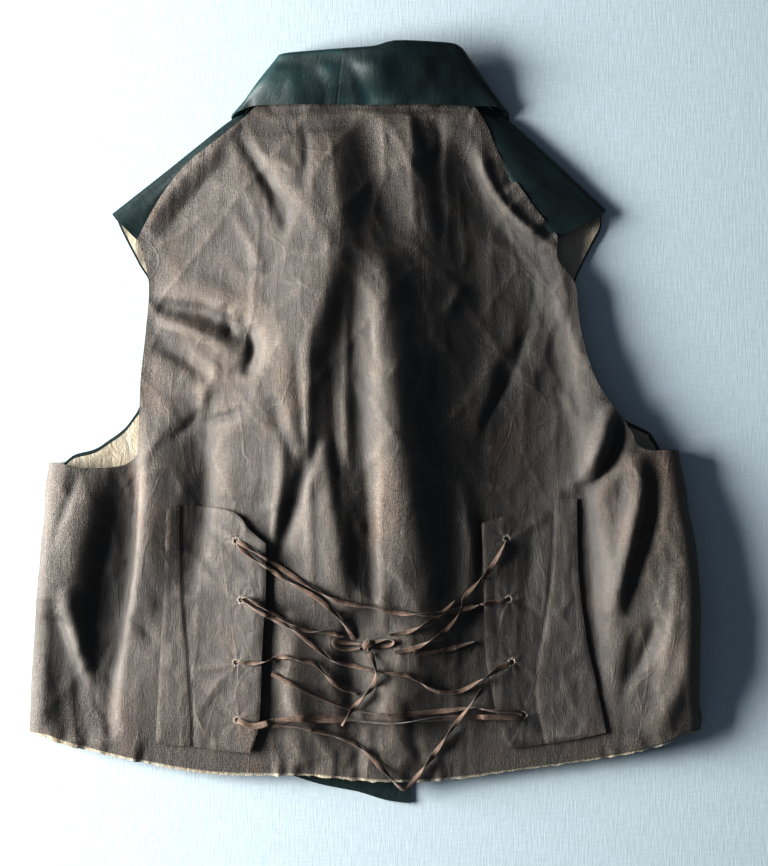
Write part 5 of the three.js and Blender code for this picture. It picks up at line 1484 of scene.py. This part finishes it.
def tape_rings(line, turn, narrow, width, thickness, seed, closed=False):
    """Rings of a flat, slightly cupped section along a line."""
    if closed:
        ways = np.roll(line, -1, axis=0) - np.roll(line, 1, axis=0)
    else:
        ways = np.gradient(line, axis=0)
    ways /= np.linalg.norm(ways, axis=1)[:, None]
    side = np.cross(ways, [0, 0, 1])
    side /= np.maximum(np.linalg.norm(side, axis=1), 1e-6)[:, None]
    up = np.cross(side, ways)
    angle = np.linspace(0, 2 * math.pi, TAPE_POINTS, endpoint=False)
    share = np.linspace(0, 1, len(line))
    wide = width / 2 * narrow * (1 + 0.16 * noise(share * len(line) / 9, share, seed))
    flat_x = np.sign(np.cos(angle)) * np.abs(np.cos(angle)) ** 0.8
    flat_y = np.sign(np.sin(angle)) * np.abs(np.sin(angle)) ** 0.8
    cup = 0.3 * noise(share * len(line) / 14, share + 9, seed + 1)
    a = wide[:, None] * flat_x
    b = thickness / 2 * flat_y + cup[:, None] * (flat_x**2 - 0.5) * narrow[:, None]
    cos, sin = np.cos(turn)[:, None, None], np.sin(turn)[:, None, None]
    along_side = a[..., None] * side[:, None, :]
    along_up = b[..., None] * up[:, None, :]
    turned_side = a[..., None] * up[:, None, :]
    turned_up = -b[..., None] * side[:, None, :]
    return line[:, None, :] + cos * (along_side + along_up) + sin * (turned_side + turned_up)


def make_knot(width, thickness):
    """Wraps of the tape round one another, with a small filled middle."""
    top = float(cloth_top(np.array([float(KNOT["x"])]), np.array([float(KNOT["y"])]))[0])
    centre = np.array([KNOT["x"], KNOT["y"], top + LACE_REST + KNOT["thickness"] / 2])
    wraps = []
    bands = [{"heading": 20, "across": 3.7, "tall": 2.3, "shift": -1.2}, {"heading": 95, "across": 4.3, "tall": 2.6, "shift": 0.4},
             {"heading": 150, "across": 3.8, "tall": 2.4, "shift": 1.4}]
    around = np.linspace(0, 2 * math.pi, 40, endpoint=False)
    for i, band in enumerate(bands):
        heading = math.radians(band["heading"])
        way = np.array([math.cos(heading), math.sin(heading), 0])
        side = np.array([-way[1], way[0], 0])
        line = centre + way * (band["shift"] + 0.5 * np.sin(2 * around))[:, None]
        line = line + side * (band["across"] * np.cos(around))[:, None] + np.array([0, 0, 1]) * (band["tall"] * np.sin(around))[:, None]
        inward = centre - line
        ring = []
        ways = np.roll(line, -1, axis=0) - np.roll(line, 1, axis=0)
        ways /= np.linalg.norm(ways, axis=1)[:, None]
        inward -= (inward * ways).sum(axis=1)[:, None] * ways
        inward /= np.linalg.norm(inward, axis=1)[:, None]
        across = np.cross(ways, inward)
        for angle in np.linspace(0, 2 * math.pi, 12, endpoint=False):
            ring.append(line + across * (0.42 * width * math.cos(angle)) + inward * (0.65 * thickness * math.sin(angle)))
        wraps.append(tube(f"lace_knot_wrap_{i + 1}", np.stack(ring, axis=1), closed=True))
    deselect()
    bpy.ops.mesh.primitive_uv_sphere_add(segments=20, ring_count=12, radius=1, location=centre * MM,
                                         scale=(3.4 * MM, 3.2 * MM, 1.9 * MM))
    core = bpy.context.object
    bpy.ops.object.transform_apply(location=True, rotation=True, scale=True)
    core.data.uv_layers.active.name = "cloth"
    bpy.ops.object.shade_smooth()
    return joined([*wraps, core])


# ---------- settings ----------
class WaistcoatCloth(bpy.types.PropertyGroup):
    """Cloth of the waistcoat"""
    cell: FloatProperty(name="Cell", description="Size of the back's mesh cells", default=0.0024,
                        min=0.0015, unit="LENGTH", subtype="DISTANCE")
    cotton_wall: FloatProperty(name="Back wall", description="Thickness of the back with its lining",
                               default=0.0013, unit="LENGTH", subtype="DISTANCE")
    satin_wall: FloatProperty(name="Front wall", description="Thickness of the fronts and collar",
                              default=0.0012, unit="LENGTH", subtype="DISTANCE")
    lining_wall: FloatProperty(name="Lining wall", description="Thickness of linings and facing",
                               default=0.0008, unit="LENGTH", subtype="DISTANCE")
    wrinkle: FloatProperty(name="Wrinkles", description="Height of the soft wrinkles", default=0.0011,
                           unit="LENGTH", subtype="DISTANCE")
    # Cotton colours: dark in hollows and light on ridges, partly rubbed wear and partly painted shade and painted
    # highlight; blots and streaks blend them too.
    cotton_dark: FloatVectorProperty(name="Cotton, dark", description="Brown cotton in its hollows",
                                     default=(0.0085, 0.0061, 0.005, 1), size=4, subtype="COLOR")
    cotton_light: FloatVectorProperty(name="Cotton, rubbed", description="Brown cotton on its ridges",
                                      default=(0.071, 0.0565, 0.0445, 1), size=4, subtype="COLOR")
    cotton_rust: FloatVectorProperty(name="Cotton, rusty", description="Faded reddish areas",
                                     default=(0.095, 0.05, 0.027, 1), size=4, subtype="COLOR")
    satin_dark: FloatVectorProperty(name="Satin, dark", description="Green satin in shade",
                                    default=(0.0008, 0.0052, 0.006, 1), size=4, subtype="COLOR")
    # satin_light is reached on ridges, partly where the satin is rubbed and partly as painted highlight.
    satin_light: FloatVectorProperty(name="Satin, light", description="Green satin where it is rubbed",
                                     default=(0.008, 0.036, 0.039, 1), size=4, subtype="COLOR")
    lining_light: FloatVectorProperty(name="Lining", description="Cream lining",
                                      default=(0.33, 0.315, 0.275, 1), size=4, subtype="COLOR")
    lining_stain: FloatVectorProperty(name="Lining, stained", description="Tea-coloured blots",
                                      default=(0.25, 0.2, 0.135, 1), size=4, subtype="COLOR")


class WaistcoatLace(bpy.types.PropertyGroup):
    """Lacing, thread and buttons"""
    width: FloatProperty(name="Tape width", description="Width of the lacing tape", default=0.0038,
                         unit="LENGTH", subtype="DISTANCE")
    thickness: FloatProperty(name="Tape thickness", description="Thickness of the lacing tape",
                             default=0.0010, unit="LENGTH", subtype="DISTANCE")
    tape_dark: FloatVectorProperty(name="Tape, dark", description="Tape between its ribs",
                                   default=(0.032, 0.02, 0.0145, 1), size=4, subtype="COLOR")
    tape_light: FloatVectorProperty(name="Tape, rubbed", description="Tape on its ribs",
                                    default=(0.13, 0.088, 0.066, 1), size=4, subtype="COLOR")
    eyelet_thread: FloatVectorProperty(name="Eyelet thread", description="Linen thread of the eyelets",
                                       default=(0.42, 0.38, 0.33, 1), size=4, subtype="COLOR")
    brown_thread: FloatVectorProperty(name="Brown thread", description="Thread of the back's seams",
                                      default=(0.2, 0.13, 0.085, 1), size=4, subtype="COLOR")
    green_thread: FloatVectorProperty(name="Green thread", description="Silk of the prick stitches",
                                      default=(0.03, 0.08, 0.075, 1), size=4, subtype="COLOR")
    horn_dark: FloatVectorProperty(name="Horn", description="Dark horn", default=(0.018, 0.012, 0.009, 1),
                                   size=4, subtype="COLOR")
    horn_light: FloatVectorProperty(name="Horn, streaks", description="Growth streaks",
                                    default=(0.09, 0.055, 0.03, 1), size=4, subtype="COLOR")


class WaistcoatStage(bpy.types.PropertyGroup):
    """Table, lights and camera"""
    table: FloatVectorProperty(name="Table", description="Colour of the table",
                               default=(0.365, 0.42, 0.455, 1), size=4, subtype="COLOR")
    key_power: FloatProperty(name="Window light", description="Power of the main light",
                             default=360, unit="POWER")
    key_height: FloatProperty(name="Light's angle", description="Angle of the main light over the table",
                              default=math.radians(18), unit="ROTATION", subtype="ANGLE")
    fill: FloatProperty(name="Fill", description="Strength of the light from all round", default=0.3)
    lens: FloatProperty(name="Lens", description="Focal length in millimetres", default=100)


def cloth_settings():
    return bpy.context.scene.waistcoat_cloth


def lace_settings():
    return bpy.context.scene.waistcoat_lace


MATERIALS = {}


def prepare_materials():
    """Makes every finish once."""
    cloth, lace = cloth_settings(), lace_settings()
    groups = {"weave": weave_group(), "age": age_group()}
    MATERIALS["cotton"] = make_cotton(groups, (cloth.cotton_dark, cloth.cotton_light, cloth.cotton_rust))
    MATERIALS["satin"] = make_satin(groups, (cloth.satin_dark, cloth.satin_light))
    MATERIALS["lining"] = make_lining(groups, (cloth.lining_light, cloth.lining_stain))
    MATERIALS["tape"] = make_tape(groups, (lace.tape_dark, lace.tape_light))
    MATERIALS["eyelet"] = make_thread("eyelet thread", lace.eyelet_thread)
    MATERIALS["brown"] = make_thread("brown thread", lace.brown_thread)
    MATERIALS["green"] = make_thread("green silk thread", lace.green_thread)
    MATERIALS["horn"] = make_horn((lace.horn_dark, lace.horn_light))
    MATERIALS["table"] = make_table(bpy.context.scene.waistcoat_stage.table)


# ---------- operators ----------
class WAISTCOAT_OT_stage(bpy.types.Operator):
    """Table, window light and camera over the laid waistcoat"""
    bl_idname = "waistcoat.stage"
    bl_label = "Stage"

    def execute(self, context):
        stage = context.scene.waistcoat_stage
        deselect()
        bpy.ops.mesh.primitive_plane_add(size=6)
        table = context.object
        table.name = "table"
        dress(table, [MATERIALS["table"]])
        view_tall = 0.6582  # table shown from the top of the view to its bottom, in metres
        middle = (0.0137, -0.0076)
        sensor = 36
        camera_data = bpy.data.cameras.new("camera")
        camera_data.lens = stage.lens
        camera_data.sensor_width = sensor
        camera = bpy.data.objects.new("camera", camera_data)
        context.scene.collection.objects.link(camera)
        camera.location = (*middle, stage.lens * view_tall / sensor)
        context.scene.camera = camera
        key_data = bpy.data.lights.new("window", "AREA")
        key_data.shape = "RECTANGLE"
        key_data.size, key_data.size_y = 1.3, 1.0
        key_data.energy = stage.key_power
        key_data.color = (1.0, 0.975, 0.93)
        key = bpy.data.objects.new("window", key_data)
        context.scene.collection.objects.link(key)
        heading, far = math.radians(176), 2.2
        flat = far * math.cos(stage.key_height)
        way = mathutils.Vector((flat * math.cos(heading), flat * math.sin(heading), far * math.sin(stage.key_height)))
        key.location = way + mathutils.Vector((0, -0.06, 0))
        key.rotation_euler = way.to_track_quat("Z", "Y").to_euler()
        world = bpy.data.worlds.new("room")
        world.use_nodes = True
        background = world.node_tree.nodes["Background"]
        background.inputs["Color"].default_value = (0.72, 0.84, 1.0, 1)
        background.inputs["Strength"].default_value = stage.fill
        context.scene.world = world
        context.scene.view_settings.view_transform = "Standard"
        context.scene.view_settings.gamma = 0.71
        return {"FINISHED"}


class WAISTCOAT_OT_laces(bpy.types.Operator):
    """Lacing tape through the eyelets, its knot and two bow loops"""
    bl_idname = "waistcoat.laces"
    bl_label = "Laces"

    def execute(self, context):
        lace = lace_settings()
        width, thickness = lace.width / MM, lace.thickness / MM
        knot = make_knot(width, thickness)
        knot.name = knot.data.name = "bow_knot"
        dress(knot, [MATERIALS["tape"]])
        settle(knot, "lace_tape", "lace_knot")
        for i, bow in enumerate(BOW_LOOPS):
            line, turn, narrow = lace_path(bow["route"], bow["turns"], 1.2 + i, width, thickness)
            rings = tape_rings(line, turn, narrow, width * 0.9, thickness, 90 + i)
            piece = tube(bow["name"] + "_tape", rings)
            dress(piece, [MATERIALS["tape"]])
            settle(piece, "lace_tape", bow["name"])
        for i, row in enumerate(LACES):
            wide = width * (1.15 if row["name"] == "lace_bottom_across" else 1)
            line, turn, narrow = lace_path(row["route"], row["turns"], 0.5 * i, wide, thickness)
            if row["name"] == "lace_bottom_across":
                narrow = narrow * (1 + 0.9 * np.exp(-(((np.linspace(0, 1, len(narrow)) - 0.5) / 0.2) ** 2)))
            piece = tube(row["name"] + "_tape", tape_rings(line, turn, narrow, wide, thickness, 100 + 3 * i))
            dress(piece, [MATERIALS["tape"]])
            settle(piece, "lace_tape", row["name"])
        return {"FINISHED"}


class WAISTCOAT_OT_back(bpy.types.Operator):
    """Back panel of glazed cotton, folded round both sides"""
    bl_idname = "waistcoat.back"
    bl_label = "Back"

    def execute(self, context):
        cloth = cloth_settings()
        piece = make_back(cloth.cell / MM, cloth.wrinkle / MM)
        face_up(piece)
        mark_ridges(piece)
        # Painted shade on the right half and the left side of the back's cotton.
        mark_painted_shade(piece)
        dress(piece, [MATERIALS["cotton"], MATERIALS["lining"]])
        give_wall(piece, cloth.cotton_wall / MM, under=1)
        settle(piece, "back_cotton", "back")
        return {"FINISHED"}


class WAISTCOAT_OT_hem(bpy.types.Operator):
    """Edge of the cream lining below the hem"""
    bl_idname = "waistcoat.hem"
    bl_label = "Hem lining"

    def execute(self, context):
        cloth = cloth_settings()
        piece = make_hem_edge(cloth.cell / MM * 0.8)
        mark_ridges(piece, rounds=3)
        dress(piece, [MATERIALS["lining"]])
        give_wall(piece, cloth.lining_wall / MM)
        settle(piece, "lining_cotton", "hem_lining")
        return {"FINISHED"}


def front_sides():
    """Both fronts' patches with their outer sides along the side folds."""
    left = front_parts(
        LEFT_FRONT, lambda t: LEFT_SIDE(mix(0.02, 1, t)) + (ROLL_LEFT + SIDE_GAP, 0), left_front_height, 0)
    right = front_parts(
        RIGHT_FRONT, lambda t: RIGHT_SIDE(mix(0.02, 1, t)) - (ROLL_RIGHT + SIDE_GAP, 0), right_front_height, 4.5)
    return left, right


class WAISTCOAT_OT_fronts(bpy.types.Operator):
    """Two satin fronts carried over the shoulders, their linings and the facing"""
    bl_idname = "waistcoat.fronts"
    bl_label = "Fronts"

    def execute(self, context):
        cloth = cloth_settings()
        left, right = front_sides()
        cell = 3.4
        for name, node_name, parts, seam in (
                ("front_left_silk", "front_left", left, LEFT_SEAM),
                ("front_right_silk", "front_right", right, RIGHT_SEAM)):
            piece = make_front(name, parts, seam, cell)
            face_up(piece)
            mark_ridges(piece)
            dress(piece, [MATERIALS["lining"], MATERIALS["satin"]])
            give_wall(piece, cloth.satin_wall / MM, under=1, rim=1)
            self.silk_inside(piece, LEFT_FRONT if node_name == "front_left" else RIGHT_FRONT)
            settle(piece, "green_satin", node_name)
        for name, node_name, parts in (
                ("front_lining_left_cotton", "front_lining_left", left),
                ("front_lining_right_cotton", "front_lining_right", right)):
            piece = make_front_lining(name, parts, 4.0)
            face_up(piece)
            mark_ridges(piece, rounds=4)
            dress(piece, [MATERIALS["lining"]])
            give_wall(piece, cloth.lining_wall / MM)
            settle(piece, "lining_cotton", node_name)
        facing = make_facing(left, 2.4)
        face_up(facing)
        mark_ridges(facing, rounds=4)
        dress(facing, [MATERIALS["satin"]])
        give_wall(facing, cloth.lining_wall / MM)
        settle(facing, "green_satin", "front_facing")
        return {"FINISHED"}

    def silk_inside(self, piece, front):
        """The turnings at the hem, armhole and underarm show silk on the inside too."""
        faces = piece.data.polygons
        centres = np.array([face.center for face in faces]) / MM
        rim = curve(front["underarm"] + front["armhole"][1:])(np.linspace(0, 1, 40))
        distance, _, _ = nearest(rim, centres[:, 0], centres[:, 1])
        for face, near_rim, y in zip(faces, distance < 2.6, centres[:, 1]):
            if face.material_index == 0 and (near_rim or y < -236):
                face.material_index = 1


class WAISTCOAT_OT_collar(bpy.types.Operator):
    """Two halves of the turn-down collar with their prick stitches"""
    bl_idname = "waistcoat.collar"
    bl_label = "Collar"

    def execute(self, context):
        cloth = cloth_settings()
        wall = cloth.satin_wall / MM
        stitch = stitch_template(1.5, 0.42)
        for name, node_name, stations, hand in (
                ("collar_left_silk", "collar_left", COLLAR_LEFT, 1),
                ("collar_right_silk", "collar_right", COLLAR_RIGHT, -1)):
            piece = make_collar(name, stations, hand, 2.2)
            mark_ridges(piece, rounds=8)
            dress(piece, [MATERIALS["satin"]])
            give_wall(piece, wall)
            settle(piece, "green_satin", node_name)
            count = 92
            u = np.linspace(0.004, 0.996, count)
            line, _ = collar_place(stations, hand, u, np.full(count, 0.963))
            ahead, _ = collar_place(stations, hand, u + 0.002, np.full(count, 0.963))
            inner, _ = collar_place(stations, hand, u, np.full(count, 0.95))
            ways = ahead - line
            outward = np.cross(ways, inner - line) * -hand
            outward /= np.linalg.norm(outward, axis=1)[:, None]
            outward *= np.where(outward[:, 2:] * np.where(u < 0.16, 1, -1)[:, None] < 0, -1, 1)
            places = line + outward * wall * 0.5
            threads = stamped(name.replace("silk", "prick_stitches"), stitch, places, ways, outward,
                              np.ones((count, 3)))
            dress(threads, [MATERIALS["green"]])
            settle(threads, "green_satin")
        remove(stitch)
        return {"FINISHED"}


class WAISTCOAT_OT_tabs(bpy.types.Operator):
    """Lacing tabs with their sewn bands and worked eyelets"""
    bl_idname = "waistcoat.tabs"
    bl_label = "Lacing tabs"

    def execute(self, context):
        cloth = cloth_settings()
        radial = stitch_template(EYELET_RING - EYELET_HOLE + 0.5, 0.5)
        running = stitch_template(1.9, 0.4)
        for side, tab in (("left", TAB_LEFT), ("right", TAB_RIGHT)):
            piece = make_tab(f"lacing_tab_{side}", tab, 1.5)
            face_up(piece)
            mark_ridges(piece, rounds=12)
            # Painted shade on the tab's cotton, as on the back.
            mark_painted_shade(piece)
            dress(piece, [MATERIALS["cotton"]])
            give_wall(piece, cloth.cotton_wall / MM)
            cut_eyelets(piece, tab)
            settle(piece, "back_cotton", f"tab_{side}")
            eyelets = make_eyelet_thread(f"tab_{side}_eyelet_thread", tab, radial)
            dress(eyelets, [MATERIALS["eyelet"]])
            settle(eyelets, "lining_cotton")
            line = curve(np.array(tab["band"], float) + (1.8 if side == "right" else -1.8, 0))(np.linspace(0.01, 0.99, 62))
            z = tab_height(tab, line[:, 0], line[:, 1]) + cloth.cotton_wall / MM / 2 + 0.1
            ways = np.column_stack([np.gradient(line, axis=0), np.gradient(z)])
            ups = np.tile([0.0, 0, 1], (len(line), 1))
            seam = stamped(f"tab_{side}_band_stitches", running, np.column_stack([line, z]), ways, ups,
                           np.ones((len(line), 3)))
            dress(seam, [MATERIALS["brown"]])
            settle(seam, "back_cotton")
        remove(radial, running)
        return {"FINISHED"}


class WAISTCOAT_OT_buttons(bpy.types.Operator):
    """Turned horn buttons sewn on under the closing line"""
    bl_idname = "waistcoat.buttons"
    bl_label = "Buttons"

    def execute(self, context):
        stitch = stitch_template(4.4, 0.6)
        blank = self.turned_button()
        for i in range(BUTTON_COUNT):
            piece = blank.copy()
            piece.data = blank.data.copy()
            piece.name = piece.data.name = f"horn_button_{i + 1}"
            context.scene.collection.objects.link(piece)
            centre = np.array([BUTTON_X, BUTTON_LOW + BUTTON_PITCH * i, BUTTON_THICKNESS / 2])
            write_points(piece.data, read_points(piece.data) + centre)
            settle(piece, "horn", f"button_{i + 1}")
            places = [centre + (0, dy, -BUTTON_THICKNESS / 2 + 0.55) for dy in (-1.6, 1.6)]
            threads = stamped(f"button_thread_{i + 1}", stitch, places, [[1, 0.1, 0], [1, -0.1, 0]],
                              [[0, 0, -1.0]] * 2, np.ones((2, 3)))
            dress(threads, [MATERIALS["green"]])
            settle(threads, "green_satin")
        remove(stitch, blank)
        return {"FINISHED"}

    def turned_button(self):
        """A disc with a raised rim below, a dished middle and four holes."""
        deselect()
        bpy.ops.mesh.primitive_cylinder_add(vertices=48, radius=BUTTON_RADIUS * MM, depth=BUTTON_THICKNESS * MM)
        button = bpy.context.object
        bpy.ops.object.mode_set(mode="EDIT")
        bpy.ops.mesh.select_all(action="DESELECT")
        bpy.ops.object.mode_set(mode="OBJECT")
        for face in button.data.polygons:
            face.select = face.normal.z < -0.9
        bpy.ops.object.mode_set(mode="EDIT")
        bpy.ops.mesh.select_mode(type="FACE")
        bpy.ops.mesh.inset(thickness=1.3 * MM, depth=0)
        bpy.ops.mesh.inset(thickness=0.9 * MM, depth=-0.7 * MM)
        bpy.ops.object.mode_set(mode="OBJECT")
        rounding = button.modifiers.new("rounding", "BEVEL")
        rounding.width = 0.35 * MM
        rounding.segments = 3
        rounding.limit_method = "ANGLE"
        bpy.ops.object.modifier_apply(modifier=rounding.name)
        cutters = []
        for dx in (-1.6, 1.6):
            for dy in (-1.6, 1.6):
                deselect()
                bpy.ops.mesh.primitive_cylinder_add(vertices=12, radius=0.75 * MM, depth=6 * MM,
                                                    location=(dx * MM, dy * MM, 0))
                cutters.append(bpy.context.object)
        cutter = joined(cutters)
        activate(button)
        holes = button.modifiers.new("holes", "BOOLEAN")
        holes.object = cutter
        holes.operation = "DIFFERENCE"
        holes.solver = "EXACT"
        bpy.ops.object.modifier_apply(modifier=holes.name)
        remove(cutter)
        bpy.ops.object.shade_smooth_by_angle(angle=math.radians(40))
        dress(button, [MATERIALS["horn"]])
        return button


class WAISTCOAT_OT_stitches(bpy.types.Operator):
    """Running stitches along the hem, the neck and the shoulder seams"""
    bl_idname = "waistcoat.stitches"
    bl_label = "Seam stitches"

    def execute(self, context):
        wall = cloth_settings().cotton_wall / MM
        wrinkle = cloth_settings().wrinkle / MM
        stitch = stitch_template(1.7, 0.36)
        left_out, right_out = np.array(LEFT_FRONT["fold_out"]), np.array(RIGHT_FRONT["fold_out"])
        rows = [
            {"name": "hem_stitches", "points": np.array(BACK["hem"], float)[1:-1] + (0, 4.5), "pitch": 3.4},
            {"name": "neck_stitches", "points": [[-88, 227], [-60, 235], [-16, 238.4], [45, 238.5], [88, 231]],
             "pitch": 3.2},
            {"name": "left_shoulder_stitches", "points": np.array(BACK["left_shoulder"]) - left_out * 2.2, "pitch": 3},
            {"name": "right_shoulder_stitches", "points": np.array(BACK["right_shoulder"]) - right_out * 2.2,
             "pitch": 3},
            {"name": "left_armhole_stitches", "points": np.array(BACK["left_armhole"]) + (2.6, 0), "pitch": 3.2},
            {"name": "right_armhole_stitches", "points": np.array(BACK["right_armhole"])[1:] - (2.8, 0),
             "pitch": 3.2},
            {"name": "side_piece_stitches", "points": [[-216, -41], [-206, -44], [-196, -47]], "pitch": 2.6},
        ]
        for row in rows:
            line = curve(row["points"])
            length = np.linalg.norm(np.diff(line(np.linspace(0, 1, 50)), axis=0), axis=1).sum()
            spots = line(np.linspace(0.004, 0.996, max(4, round(length / row["pitch"]))))
            z = cloth_height(spots[:, 0], spots[:, 1], wrinkle) + wall / 2 + 0.06
            ways = np.column_stack([np.gradient(spots, axis=0), np.gradient(z)])
            threads = stamped(row["name"], stitch, np.column_stack([spots, z]), ways,
                              np.tile([0.0, 0, 1], (len(spots), 1)), np.ones((len(spots), 3)))
            dress(threads, [MATERIALS["brown"]])
            settle(threads, "back_cotton")
        remove(stitch)
        return {"FINISHED"}


class WAISTCOAT_PT_panel(bpy.types.Panel):
    """Steps of the waistcoat"""
    bl_idname = "WAISTCOAT_PT_panel"
    bl_label = "Waistcoat"
    bl_space_type = "VIEW_3D"
    bl_region_type = "UI"
    bl_category = "Waistcoat"

    def draw(self, context):
        for operator in OPERATORS:
            self.layout.operator(operator.bl_idname)
        for group in (context.scene.waistcoat_cloth, context.scene.waistcoat_lace, context.scene.waistcoat_stage):
            box = self.layout.box()
            for name in group.__annotations__:
                box.prop(group, name)


OPERATORS = (
    WAISTCOAT_OT_stage,
    WAISTCOAT_OT_laces,
    WAISTCOAT_OT_back,
    WAISTCOAT_OT_hem,
    WAISTCOAT_OT_fronts,
    WAISTCOAT_OT_collar,
    WAISTCOAT_OT_tabs,
    WAISTCOAT_OT_buttons,
    WAISTCOAT_OT_stitches,
)
CLASSES = (WaistcoatCloth, WaistcoatLace, WaistcoatStage, *OPERATORS, WAISTCOAT_PT_panel)


def register():
    for each in CLASSES:
        bpy.utils.register_class(each)
    bpy.types.Scene.waistcoat_cloth = PointerProperty(type=WaistcoatCloth)
    bpy.types.Scene.waistcoat_lace = PointerProperty(type=WaistcoatLace)
    bpy.types.Scene.waistcoat_stage = PointerProperty(type=WaistcoatStage)


def unregister():
    del bpy.types.Scene.waistcoat_stage
    del bpy.types.Scene.waistcoat_lace
    del bpy.types.Scene.waistcoat_cloth
    for each in reversed(CLASSES):
        bpy.utils.unregister_class(each)


def main():
    register()
    prepare_materials()
    bpy.ops.waistcoat.stage()
    bpy.ops.waistcoat.laces()
    bpy.ops.waistcoat.back()
    bpy.ops.waistcoat.hem()
    bpy.ops.waistcoat.fronts()
    bpy.ops.waistcoat.collar()
    bpy.ops.waistcoat.tabs()
    bpy.ops.waistcoat.buttons()
    bpy.ops.waistcoat.stitches()


if __name__ == "__main__":
    main()
